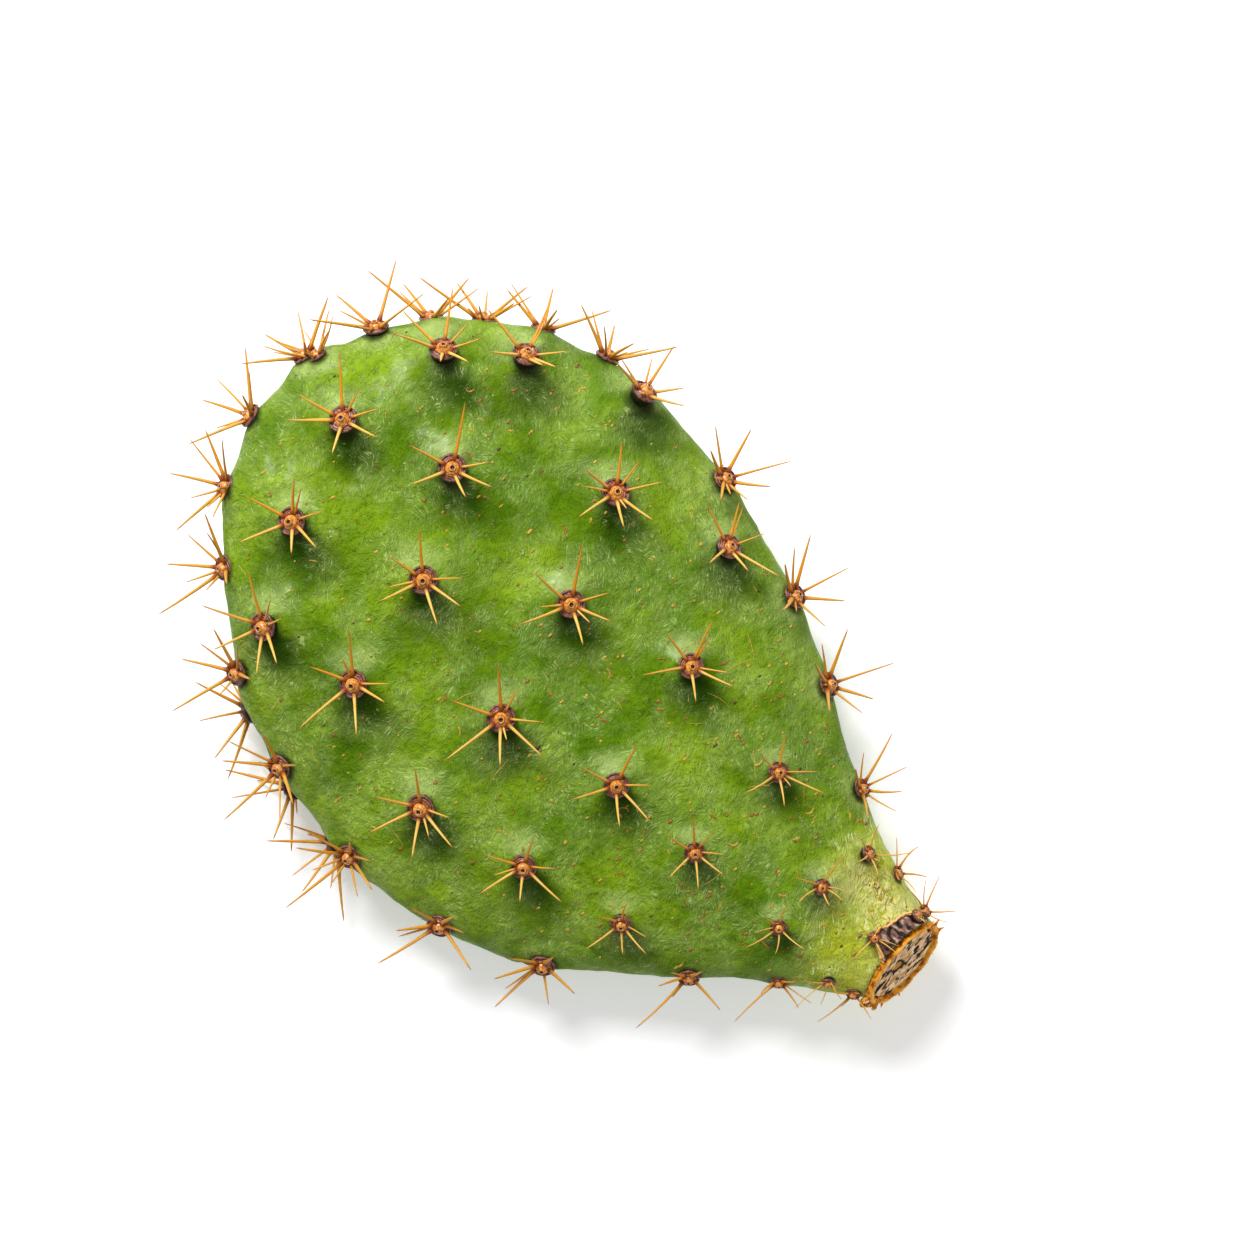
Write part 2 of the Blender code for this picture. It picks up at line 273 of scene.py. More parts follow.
@dataclass(frozen=True)
class Areole:
    """Where a cushion sits on the plain body, which way it faces, how big it is and its spines."""

    place: Array
    facing: Array
    size: float
    swelling: float
    fan: Fan
    lean: float
    side: Side

    def axes(self) -> tuple[Array, Array]:
        """Lay two directions across the cushion.

        Returns:
            The one towards +X or +Y, and the one that the bearings turn to.
        """
        across = np.array((1.0, 0, 0)) if abs(self.facing[0]) < 0.8 else np.array((0, 1.0, 0))
        first = unit(across - self.facing * across.dot(self.facing))
        other = np.cross(self.facing, first) * (1 if self.facing[2] >= 0 else -1)
        return first, other


@dataclass(frozen=True)
class AreolePlan:
    """Where the areoles grow: rows across both faces and a line round the rim."""

    swelling: float = 2.4
    reach: float = 9.5
    rim_swelling: float = 1.0
    face_lean: float = 60.0
    rim_lean: float = 56.0
    back_lean: float = 84.0
    face_fan: Fan = ((30, 13), (95, 12), (155, 14), (225, 10), (275, 12.5))
    rim_fan: Fan = ((20, 14), (110, 12), (165, 16), (290, 11))
    back_fan: Fan = ((60, 10), (150, 9), (240, 9), (330, 10))
    rest_level: float = -17.3
    rest_bearings: tuple[float, ...] = (90, 205, 335)
    rest_centre: Span = (0, 112)
    rest_radius: float = 38.0
    foot_height: float = 1.7
    face_rows: tuple[Row, ...] = (
        Row(9.8, -0.344, -0.0162, 0, (-13.8, 0.1, 9.2), 0.5),
        Row(26.9, -0.2, 0, -0.5, (-11.9, 1.3, 13.4), 0.6),
        Row(53.8, -0.11, 0, 0, (-34.6, -11.2, 15), 0.75),
        Row(79.4, 0.09, 0.005, 0, (-38.8, -11, 20.9, 47.1), 0.9),
        Row(111.1, 0.16, 0.0032, 0, (-43.6, -16.2, 14.2, 40.2, 61)),
        Row(147.1, 0.28, 0, 2.4, (-31.7, -3.3, 20.5, 50.6)),
        Row(179.6, 0.184, -0.0077, 0.8, (-34.6, -12.1, 13, 39.3)),
    )
    back_rows: tuple[Row, ...] = (
        Row(30, 0.1, 0, 0, (-10, 10), 0.6),
        Row(58, -0.1, 0, 0, (-24, 3, 28), 0.8),
        Row(86, 0.05, 0, 1.5, (-42, -16, 13, 41)),
        Row(114, -0.08, 0, -1.5, (-34, -3, 27, 52)),
        Row(143, 0.06, 0, 1.5, (-42, -16, 14, 43)),
        Row(171, 0, 0, 0, (-27, 3, 33)),
    )
    left_rim: tuple[float, ...] = (3.2, 19.4, 36.9, 65.1, 89.4, 115.9, 141.8, 163.3, 181.2, 193, 199.3)
    right_rim: tuple[float, ...] = (2.8, 14.1, 34.3, 56.1, 75.5, 105.6, 190.1, 198.4)
    right_edge: tuple[float, ...] = (144.9, 160.4, 172, 181.5)
    left_behind: tuple[float, ...] = (120.4, 136.7, 155.9)
    rim_turn: float = math.radians(15)
    behind_turn: float = math.radians(9)
    rim_least: float = 0.5
    rim_growth: float = 0.4
    rim_grown: float = 60.0
    underside: float = -0.9
    twin_right_of: float = 8.0
    twin_shift: tuple[float, float, float] = (1.9, -2.2, 2.4)
    twin_size: float = 0.72
    front_splay: tuple[float, float, float] = (1.8, 1.8, 1.0)
    tilted_above: float = -0.02
    left_tilt: float = 0.42
    right_tilt: float = 0.25

    def grow(self, form: PadForm) -> list[Areole]:
        """Place every areole on the body.

        Args:
            form: the plain body.

        Returns:
            The areoles: front rows, back rows, the rim, and the twin of one near the tip.
        """
        found = []
        front = (Side.FRONT, self.face_rows, self.face_lean, self.face_fan)
        back = (Side.BACK, self.back_rows, self.back_lean, self.back_fan)
        for side, rows, lean, fan in (front, back):
            for row in rows:
                for i, x in enumerate(row.places):
                    at = form.on_face(x, row.height(i), side)
                    swell = self.swelling * row.size
                    found.append(Areole(form.skin(*at), form.facing(*at), row.size, swell, fan, lean, side))
        rim = [(y, math.pi - self.rim_turn) for y in self.left_rim]
        rim += [(y, self.rim_turn) for y in self.right_rim]
        rim += [(y, 0.0) for y in self.right_edge]
        rim += [(y, math.pi + self.behind_turn) for y in self.left_behind]
        for at in rim:
            size = self.rim_least + self.rim_growth * float(smooth(0, self.rim_grown, at[0]))
            swell = self.rim_swelling * size
            place, out = form.skin(*at), form.facing(*at)
            found.append(Areole(place, out, size, swell, self.rim_fan, self.rim_lean, Side.RIM))
        self.set_feet(found)
        right = [a for a in found if a.side is Side.RIM and a.place[0] > self.twin_right_of]
        tip = max(right, key=lambda a: a.place[1])
        found.append(replace(tip, place=tip.place + self.twin_shift, size=self.twin_size, swelling=0.0))
        return found

    def set_feet(self, areoles: list[Areole]) -> None:
        """Swell the three underside areoles that the pad rests on down to the rest level.

        Args:
            areoles: all of them; those three are replaced in the list.
        """
        for bearing in self.rest_bearings:
            angle = math.radians(bearing)
            goal = np.array((math.cos(angle), math.sin(angle))) * self.rest_radius + self.rest_centre
            under = [i for i, a in enumerate(areoles) if a.facing[2] < self.underside and a.size == 1.0]
            best = min(under, key=lambda i: np.linalg.norm(areoles[i].place[:2] - goal))
            swell = areoles[best].place[2] - (self.rest_level + self.foot_height)
            areoles[best] = replace(areoles[best], swelling=float(swell))

    def top_of(self, areole: Areole, areoles: list[Areole]) -> Array:
        """Find the top of an areole's swelling.

        Args:
            areole: the one to stand on.
            areoles: all that lift the skin there.

        Returns:
            The point.
        """
        lift = 0.0
        for near in areoles:
            away = np.linalg.norm(areole.place - near.place) / (self.reach * near.size)
            lift += near.swelling * math.exp(-(away**2))
        return areole.place + areole.facing * lift

    def raise_all(self, areoles: list[Areole], peak: float) -> list[Array]:
        """Find where every cushion stands, and tilt those of the front and the rim.

        Args:
            areoles: all of them; the tilted ones are replaced in the list.
            peak: how much further the front's swellings come to a peak.

        Returns:
            The top under each cushion.
        """
        tops = []
        for i, areole in enumerate(areoles):
            tops.append(self.top_of(areole, areoles))
            if areole.side is Side.FRONT:
                tops[i] = tops[i] + areole.facing * peak * areole.size
                areoles[i] = replace(areole, facing=unit(areole.facing * self.front_splay))
            elif areole.side is Side.RIM and areole.facing[2] >= self.tilted_above:
                tilt = self.right_tilt if areole.place[0] > 0 else self.left_tilt
                areoles[i] = replace(areole, facing=unit(areole.facing + (0, 0, tilt)))
        return tops


# ---------------------------------------------------------------------------------------------------------
# Mesh work


@dataclass
class Pattern:
    """One modelled shape as corners and faces, ready to be copied."""

    corners: Array
    faces: Faces

    @classmethod
    def taken_from(cls, made: bpy.types.Object) -> "Pattern":
        """Read a modelled shape, and remove its object.

        Args:
            made: the object.

        Returns:
            Its mesh as a pattern.
        """
        mesh = made.data
        corners = np.array([v.co[:] for v in mesh.vertices])
        faces = [tuple(p.vertices) for p in mesh.polygons]
        bpy.data.objects.remove(made)
        bpy.data.meshes.remove(mesh)
        return cls(corners, faces)


@dataclass
class Gathering:
    """Placed copies of patterns that become one piece."""

    corners: list[Array] = field(default_factory=list)
    faces: Faces = field(default_factory=list)
    marks: dict[str, list[Array]] = field(default_factory=dict)
    count: int = 0

    def add(self, corners: Array, faces: Faces, **marks: Any) -> None:
        """Add one copy.

        Args:
            corners: its corners, in millimetres in the pad's space.
            faces: its faces.
            marks: a value, or one for each corner, under each attribute's name.
        """
        self.faces += [tuple(i + self.count for i in face) for face in faces]
        self.corners.append(corners)
        self.count += len(corners)
        for name, value in marks.items():
            self.marks.setdefault(name, []).append(np.broadcast_to(value, (len(corners),)))

    def make(self, name: str, material: bpy.types.Material) -> bpy.types.Object:
        """Turn all the copies into one smooth object.

        Args:
            name: the piece's name.
            material: its finish.

        Returns:
            The piece.
        """
        mesh = bpy.data.meshes.new(name)
        mesh.from_pydata(in_frame(np.concatenate(self.corners)).tolist(), [], self.faces)
        mesh.update()
        made = bpy.data.objects.new(name, mesh)
        bpy.context.scene.collection.objects.link(made)
        for mark, values in self.marks.items():
            set_mark(made, mark, np.concatenate(values))
        mesh.shade_smooth()
        mesh.materials.append(material)
        return made


def in_frame(points: Array) -> Array:
    """Turn millimetres in the pad's space into metres in the frame, never below what the pad lies on.

    Args:
        points: the points.

    Returns:
        The same points in the frame.
    """
    moved = (points + LIE) * MM
    moved[..., 2] = np.maximum(moved[..., 2], 0.0)
    return moved


def corners_of(made: bpy.types.Object) -> Array:
    """Return an object's corners as they are stored."""
    return np.array([v.co[:] for v in made.data.vertices])


def reshape(made: bpy.types.Object, points: Array) -> None:
    """Move an object's corners to points in the pad's space."""
    made.data.vertices.foreach_set("co", in_frame(points).astype(np.float32).ravel())


def set_mark(made: bpy.types.Object, name: str, values: Array) -> None:
    """Store one number for each corner of a mesh."""
    mark = made.data.attributes.new(name, "FLOAT", "POINT")
    mark.data.foreach_set("value", np.asarray(values, np.float32))


def face_outwards() -> None:
    """Turn all faces of the active object outwards."""
    bpy.ops.object.mode_set(mode="EDIT")
    bpy.ops.mesh.select_all(action="SELECT")
    bpy.ops.mesh.normals_make_consistent(inside=False)
    bpy.ops.object.mode_set(mode="OBJECT")


def turned(profile: Profile, sides: int) -> Pattern:
    """Model a turned shape: a ring, extruded and scaled along its profile, with both ends closed.

    Args:
        profile: radius and height of each ring, from the bottom to the top.
        sides: how many corners a ring has.

    Returns:
        The shape, upright on the origin.
    """
    bpy.ops.object.select_all(action="DESELECT")
    radius, height = profile[0]
    bpy.ops.mesh.primitive_circle_add(vertices=sides, radius=radius, location=(0, 0, height))
    made = bpy.context.active_object
    bpy.ops.object.mode_set(mode="EDIT")
    bpy.ops.mesh.select_all(action="SELECT")
    for wide, high in profile[1:]:
        bpy.ops.mesh.extrude_region_move(TRANSFORM_OT_translate={"value": (0, 0, high - height)})
        share = max(wide, 1e-4) / radius
        bpy.ops.transform.resize(value=(share, share, 1), center_override=(0, 0, high))
        radius, height = max(wide, 1e-4), high
    bpy.ops.mesh.select_all(action="SELECT")
    bpy.ops.mesh.remove_doubles(threshold=0.001)
    bpy.ops.mesh.fill_holes(sides=0)
    bpy.ops.mesh.select_all(action="SELECT")
    bpy.ops.mesh.normals_make_consistent(inside=False)
    bpy.ops.object.mode_set(mode="OBJECT")
    made.data.transform(Matrix.Translation(made.location))
    return Pattern.taken_from(made)


def seat(corners: Array, areole: Areole, top: Array) -> Array:
    """Stand a shape on an areole.

    Args:
        corners: the shape's corners, for an areole of size one.
        areole: gives its size and its way.
        top: the point it stands on.

    Returns:
        The corners in the pad's space.
    """
    first, _ = areole.axes()
    second = np.cross(areole.facing, first)
    local = corners * areole.size
    return top + local[:, :1] * first + local[:, 1:2] * second + local[:, 2:] * areole.facing


# ---------------------------------------------------------------------------------------------------------
# Material work


class Tree:
    """Lays out shader nodes in one tree and joins them."""

    def __init__(self, tree: bpy.types.NodeTree) -> None:
        """Keep the tree."""
        self.tree = tree

    def put(self, socket: Any, value: Any) -> None:
        """Join a value to an input, or set it there.

        Args:
            socket: the input.
            value: a socket, a number, or a colour as three numbers.
        """
        if isinstance(value, bpy.types.NodeSocket):
            self.tree.links.new(value, socket)
        elif isinstance(value, tuple) and len(value) == 3:
            socket.default_value = (*value, 1.0)
        else:
            socket.default_value = value

    def node(self, kind: str, inputs: dict[Any, Any] | None = None, **settings: Any) -> bpy.types.Node:
        """Add a node.

        Args:
            kind: its type, without the word ShaderNode.
            inputs: what each input takes, by name or number; one that is None is left alone.
            settings: its own properties.

        Returns:
            The node.
        """
        made = self.tree.nodes.new("ShaderNode" + kind)
        for name, value in settings.items():
            setattr(made, name, value)
        for name, value in (inputs or {}).items():
            if value is not None:
                self.put(made.inputs[name], value)
        return made

    def math(self, operation: str, first: Any, second: Any = None) -> Any:
        """Return one number worked out from one or two others."""
        return self.node("Math", {0: first, 1: second}, operation=operation).outputs[0]

    def times(self, first: Any, second: Any) -> Any:
        """Return one number multiplied by another."""
        return self.math("MULTIPLY", first, second)

    def plus(self, first: Any, second: Any) -> Any:
        """Return one number added to another."""
        return self.math("ADD", first, second)

    def mark(self, name: str) -> Any:
        """Return the value that the mesh stores under a name."""
        return self.node("Attribute", attribute_name=name).outputs["Fac"]

    def step(self, value: Any, low: Any, high: Any, top: float = 1.0) -> Any:
        """Return 0 below low and top above high, with an even S between them."""
        inputs = {"Value": value, "From Min": low, "From Max": high, "To Max": top}
        return self.node("MapRange", inputs, interpolation_type="SMOOTHSTEP").outputs[0]

    def blend(self, share: Any, first: Any, second: Any, kind: str = "MIX") -> Any:
        """Mix two colours.

        Args:
            share: how much of the second shows.
            first: the colour below.
            second: the colour above.
            kind: how they mix.

        Returns:
            The mixed colour.
        """
        made = self.node("Mix", {"Factor": share}, data_type="RGBA", blend_type=kind)
        for name, value in (("A", first), ("B", second)):
            self.put(next(s for s in made.inputs if s.name == name and s.type == "RGBA"), value)
        return next(s for s in made.outputs if s.type == "RGBA")

    def place(self, scale: float = 1 / MM) -> Any:
        """Return the object's own coordinates, scaled: millimetres unless told otherwise."""
        coordinates = self.node("TexCoord").outputs["Object"]
        return self.node("VectorMath", {0: coordinates, "Scale": scale}, operation="SCALE").outputs[0]

    def noise(self, where: Any, size: float, detail: float, rough: float = 0.5, warp: float = 0.0) -> Any:
        """Make soft noise.

        Args:
            where: the coordinates that it reads.
            size: how far apart its lumps lie, in the units of those.
            detail: how many finer layers it has.
            rough: how strong those are.
            warp: how far it is pulled out of true.

        Returns:
            The noise, about 0 to 1.
        """
        inputs = {"Vector": where, "Scale": 1 / size, "Detail": detail, "Roughness": rough}
        return self.node("TexNoise", {**inputs, "Distortion": warp}).outputs["Fac"]

    def flow(self, where: Any, across: Any, length: float, width: float, detail: float = 1.0) -> Any:
        """Make noise drawn out into streaks.

        Args:
            where: the coordinates that it reads.
            across: a number that stays the same along each streak.
            length: of a streak.
            width: of a streak.
            detail: how many finer layers it has.

        Returns:
            The noise, about 0 to 1.
        """
        inputs = {"Vector": where, "Scale": 1 / length, "Detail": detail, "Roughness": 0.5}
        inputs["W"] = self.times(across, length / width)
        return self.node("TexNoise", inputs, noise_dimensions="4D").outputs["Fac"]

    def group(self, group: bpy.types.NodeTree, **inputs: Any) -> bpy.types.Node:
        """Add a node group.

        Args:
            group: the group.
            inputs: what each of its inputs takes.

        Returns:
            The node.
        """
        made = self.node("Group", node_tree=group)
        for name, value in inputs.items():
            self.put(made.inputs[name], value)
        return made


@dataclass
class GroupInMaking:
    """A shader node group that is being laid out."""

    group: bpy.types.NodeTree
    lay: Tree
    given: Any
    result: Any

    @classmethod
    def start(cls, name: str, takes: dict[str, Any], gives: dict[str, str]) -> "GroupInMaking":
        """Start a group.

        Args:
            name: its name.
            takes: each input's default value, a colour as three numbers.
            gives: each output's socket type.

        Returns:
            The group, with its layout and its sockets.
        """
        group = bpy.data.node_groups.new(name, "ShaderNodeTree")
        lay = Tree(group)
        for label, default in takes.items():
            kind = "NodeSocketColor" if isinstance(default, tuple) else "NodeSocketFloat"
            lay.put(group.interface.new_socket(name=label, in_out="INPUT", socket_type=kind), default)
        for label, kind in gives.items():
            group.interface.new_socket(name=label, in_out="OUTPUT", socket_type="NodeSocket" + kind)
        given, result = group.nodes.new("NodeGroupInput"), group.nodes.new("NodeGroupOutput")
        return cls(group, lay, given.outputs, result.inputs)


class Effects:
    """The effects that more than one finish uses, each built once."""

    def __init__(self) -> None:
        """Build the groups."""
        self.mottle = self.build_mottle()
        self.specks = self.build_specks()

    def build_mottle(self) -> bpy.types.NodeTree:
        """Lay out two tones that run into each other in soft lumps, and the height of the same lumps.

        Returns:
            The group.
        """
        takes = {"Light": (0.5, 0.5, 0.5), "Dark": (0.1, 0.1, 0.1), "Size": 5.0, "Contrast": 0.2}
        made = GroupInMaking.start("mottled tones", takes, {"Colour": "Color", "Height": "Float"})
        lay, given = made.lay, made.given
        inputs = {"Vector": lay.place(), "Scale": lay.math("DIVIDE", 1.0, given["Size"])}
        lump = lay.node("TexNoise", {**inputs, "Detail": 4.0, "Roughness": 0.55}).outputs["Fac"]
        low = lay.math("SUBTRACT", 0.5, given["Contrast"])
        mask = lay.step(lump, low, lay.plus(0.5, given["Contrast"]))
        lay.put(made.result["Colour"], lay.blend(mask, given["Dark"], given["Light"]))
        lay.put(made.result["Height"], lump)
        return made.group

    def build_specks(self) -> bpy.types.NodeTree:
        """Lay out scattered round specks of uneven size: a mask, and a second that tells them apart.

        Returns:
            The group.
        """
        takes = {"Spacing": 5.0, "Size": 0.5, "Share": 0.5}
        made = GroupInMaking.start("scattered specks", takes, {"Mask": "Float", "Kind": "Float"})
        lay, given = made.lay, made.given
        inputs = {"Vector": lay.place(), "Scale": lay.math("DIVIDE", 1.0, given["Spacing"])}
        cell = lay.node("TexVoronoi", inputs)
        away = lay.times(cell.outputs["Distance"], given["Spacing"])
        tell = lay.node("SeparateColor", {"Color": cell.outputs["Color"]})
        reach = lay.times(given["Size"], lay.plus(0.35, tell.outputs[1]))
        inside = lay.math("DIVIDE", away, reach)
        dot = lay.node("MapRange", {"Value": inside, "From Min": 1.2, "From Max": 0.7}).outputs[0]
        chosen = lay.math("LESS_THAN", tell.outputs[0], given["Share"])
        lay.put(made.result["Mask"], lay.times(dot, chosen))
        lay.put(made.result["Kind"], tell.outputs[2])
        return made.group


class Coating:
    """A material in the making: its layout, its colour so far and its shader."""

    def __init__(self, name: str, roughness: float, coat: float = 0.0, specular: float = 0.5) -> None:
        """Start the material.

        Args:
            name: its name.
            roughness: the shader's own roughness.
            coat: weight of a clear coat.
            specular: the shader's specular level.
        """
        self.material = bpy.data.materials.new(name)
        self.material.use_nodes = True
        self.shader = self.material.node_tree.nodes["Principled BSDF"]
        self.lay = Tree(self.material.node_tree)
        self.colour: Any = WHITE
        settings = {"Roughness": roughness, "Coat Weight": coat, "Coat Roughness": 0.25}
        self.set(**settings, **{"Specular IOR Level": specular})

    def set(self, **inputs: Any) -> None:
        """Set or join the shader's inputs by name."""
        for name, value in inputs.items():
            self.lay.put(self.shader.inputs[name], value)

    def paint(self, colour: Any, mask: Any, strength: float | None = None, kind: str = "MIX") -> None:
        """Lay one colour over the colour so far.

        Args:
            colour: the new colour.
            mask: where it shows.
            strength: how much of it shows there, all if none is given.
            kind: how they mix.
        """
        share = mask if strength is None else self.lay.times(mask, strength)
        self.colour = self.lay.blend(share, self.colour, colour, kind)

    def finish(self, height: Any = None, depth: float = 0.0) -> bpy.types.Material:
        """Join the colour and the bump to the shader.

        Args:
            height: the bump's height, from about 0 to 1, if it has one.
            depth: how much a height of 1 is, in millimetres.

        Returns:
            The material.
        """
        self.set(**{"Base Color": self.colour})
        if height is not None:
            bump = self.lay.node("Bump", {"Height": height, "Distance": depth * MM, "Strength": 1.0})
            self.set(Normal=bump.outputs[0])
        return self.material


@dataclass(frozen=True)
class SkinFinish:
    """Green skin: greens run together with painted highlights, painted shade and painted shadow round the
    areoles, silvery strokes in swirls, dry specks and a yellow neck.
    """

    mid: Colour = (0.118, 0.244, 0.003)
    light: Colour = (0.270, 0.425, 0.014)
    deep: Colour = (0.022, 0.062, 0.001)
    shade: Colour = (0.52, 0.60, 0.30)
    pale: Colour = (0.41, 0.54, 0.15)
    yellow: Colour = (0.60, 0.64, 0.032)
    silver: Colour = (0.48, 0.61, 0.22)
    cream: Colour = (0.74, 0.73, 0.27)
    painted_gloss: Colour = (0.82, 0.88, 0.42)
    rust: Colour = (0.40, 0.15, 0.025)
    straw: Colour = (0.58, 0.44, 0.07)
    painted_shadow: Colour = (0.02, 0.03, 0.006)
    broad_size: float = 22.0
    small_size: float = 9.0
    fine_size: float = 1.7
    haze_size: float = 8.0
    vein_size: float = 2.6
    arc_length: float = 5.0
    arc_width: float = 0.34
    speck_spacing: float = 3.0
    speck_size: float = 0.26
    least_rough: float = 0.34
    more_rough: float = 0.26
    depth: float = 0.46

    def build(self, effects: Effects) -> bpy.types.Material:
        """Build the skin's material.

        Args:
            effects: the shared node groups.

        Returns:
            The material.
        """
        skin = Coating("pad skin", 0.42, specular=0.03)
        lay = skin.lay
        where = lay.place()
        self.greens(skin, effects)
        second = lay.flow(where, lay.mark("cross_grain"), 1.7, 0.19)
        parted = lay.step(lay.noise(where, 3.0, 2.0), 0.46, 0.54)
        stroke = lay.blend(parted, lay.flow(where, lay.mark("grain"), 2.0, 0.20), second)
        haze = lay.step(lay.noise(where, self.haze_size, 5.0), 0.38, 0.62)
        self.silvering(skin, stroke, haze)
        pucker = self.puckers(skin, where)
        skin.paint(self.pale, lay.mark("rim"), 0.08)
        self.arcs(skin, where)
        worn = lay.mark("worn")
        skin.paint(self.cream, lay.times(worn, lay.step(stroke, 0.40, 0.54)))
        skin.paint(self.rust, lay.times(lay.step(second, 0.61, 0.66), lay.step(worn, 0.1, 0.6)), 0.8)
        dots = lay.group(effects.specks, Spacing=self.speck_spacing, Size=self.speck_size, Share=0.4)
        tint = lay.blend(lay.step(dots.outputs["Kind"], 0.4, 0.6), self.straw, self.rust)
        skin.paint(tint, dots.outputs["Mask"], 0.75)
        # Painted shadow: near black round each areole's cup, shifted away from the light.
        skin.paint(self.painted_shadow, lay.step(lay.mark("near"), 5.0, 3.1, 0.9))

        rough = lay.plus(self.least_rough, lay.times(lay.noise(where, 1.2, 3.0), self.more_rough))
        skin.set(Roughness=rough, **{"Coat Weight": lay.times(haze, 0.16)})
        height = lay.plus(lay.times(stroke, 0.6), lay.times(pucker, 0.6))
        height = lay.plus(height, lay.times(lay.noise(where, 2.8, 4.0, 0.6), 3.2))
        height = lay.plus(height, lay.times(dots.outputs["Mask"], 0.6))
        return skin.finish(height, self.depth)

    def greens(self, skin: Coating, effects: Effects) -> None:
        """Run the greens together, with painted shade trailing from each front areole away from the light,
        painted highlights on its side towards the light, and yellow towards the cut.

        Args:
            skin: the material.
            effects: the shared node groups.
        """
        lay, mottle = skin.lay, effects.mottle
        broad = lay.group(mottle, Light=self.light, Dark=self.mid, Size=self.broad_size, Contrast=0.17)
        small = lay.group(mottle, Light=WHITE, Dark=self.shade, Size=self.small_size, Contrast=0.25)
        fine = lay.group(mottle, Light=WHITE, Dark=self.shade, Size=self.fine_size, Contrast=0.25)
        skin.colour = broad.outputs["Colour"]
        skin.paint(small.outputs["Colour"], 0.85, kind="MULTIPLY")
        skin.paint(fine.outputs["Colour"], 0.35, kind="MULTIPLY")
        # Painted shade: dark green along the hollow mark, trailing away from the light below each front
        # areole.
        skin.paint(self.deep, lay.step(lay.mark("hollow"), 0.0, 0.9, 0.95))
        # Painted highlight: paler green on each front areole's side towards the light.
        skin.paint(self.pale, lay.step(lay.mark("painted_highlight"), 0.05, 1.0, 0.62))
        skin.paint(self.yellow, lay.step(lay.mark("neck"), 0.0, 0.8, 0.92))
        skin.paint(self.cream, lay.step(lay.mark("neck"), 0.7, 1.0, 0.5))

    def silvering(self, skin: Coating, stroke: Any, haze: Any) -> None:
        """Lay on the waxy haze, the silvery strokes in it, stronger on the painted highlights, and the dark
        ones between, which are painted shade of the fine grain.

        Args:
            skin: the material.
            stroke: the strokes' noise.
            haze: where the wax is thick.
        """
        lay = skin.lay
        # The silvery strokes show more on the painted highlights as well as in the wax.
        lit = lay.math("MINIMUM", lay.plus(haze, lay.times(lay.mark("painted_highlight"), 0.8)), 1.0)
        skin.paint(self.pale, haze, 0.16)
        skin.paint(self.silver, lay.times(lay.step(stroke, 0.58, 0.65), lit), 0.62)
        # Painted shade: dark strokes between the silvery ones.
        skin.paint(self.deep, lay.step(stroke, 0.44, 0.32, 0.38))

    def puckers(self, skin: Coating, where: Any) -> Any:
        """Paint patches of fine wrinkle lines in silver, a painted highlight along the wrinkles.

        Args:
            skin: the material.
            where: its coordinates.

        Returns:
            The wrinkles' mask.
        """
        lay = skin.lay
        vein = lay.math("SUBTRACT", lay.noise(where, self.vein_size, 2.5, 0.55, 0.8), 0.5)
        thin = lay.step(lay.math("ABSOLUTE", vein), 0.018, 0.004)
        pucker = lay.times(thin, lay.step(lay.noise(where, 1.9, 2.0), 0.49, 0.56))
        pucker = lay.times(pucker, lay.step(lay.noise(where, 12.0, 3.0), 0.38, 0.56))
        # Painted highlight along the wrinkle lines.
        skin.paint(self.silver, pucker, 0.5)
        return pucker

    def arcs(self, skin: Coating, where: Any) -> None:
        """Paint pale arcs across the neck: a painted glossy highlight.

        Args:
            skin: the material.
            where: its coordinates.
        """
        lay = skin.lay
        flow = lay.flow(where, lay.mark("cross_grain"), self.arc_length, self.arc_width, 0.0)
        arcs = lay.times(lay.step(flow, 0.60, 0.66), lay.step(lay.noise(where, 6.0, 2.0), 0.46, 0.56))
        # Painted highlight: pale glossy arcs on the neck.
        skin.paint(self.painted_gloss, lay.times(arcs, lay.step(lay.mark("neck"), 0.02, 0.3, 0.68)))


@dataclass(frozen=True)
class WoodyFinish:
    """A dry plant finish that runs between two tones, with painted shade where the mesh marks it."""

    name: str
    light: Colour
    dark: Colour
    deep: Colour
    size: float
    roughness: float
    coat: float
    bump: float = 0.12

    def build(self, effects: Effects) -> bpy.types.Material:
        """Build one woody material.

        Args:
            effects: the shared node groups.

        Returns:
            The material.
        """
        bark = Coating(self.name, self.roughness, self.coat)
        lay = bark.lay
        tone = lay.group(effects.mottle, Light=self.light, Dark=self.dark, Size=self.size, Contrast=0.2)
        bark.colour = tone.outputs["Colour"]
        # Painted shade: dark where the mesh marks it, at the layers' feet, inside them and in their
        # grooves.
        bark.paint(self.deep, lay.mark("deep"))
        return bark.finish(tone.outputs["Height"], self.bump)


CUP_FELT = WoodyFinish(
    "cup felt", (0.30, 0.11, 0.075), (0.045, 0.013, 0.010), (0.010, 0.004, 0.003), 0.7, 0.45, 0.1
)
RING_BARK = WoodyFinish(
    "ring bark", (0.56, 0.20, 0.085), (0.14, 0.028, 0.01), (0.014, 0.004, 0.003), 0.5, 0.3, 0.3
)
DOME_BARK = WoodyFinish(
    "dome bark", (0.95, 0.42, 0.06), (0.42, 0.10, 0.012), (0.03, 0.008, 0.004), 0.6, 0.3, 0.3
)


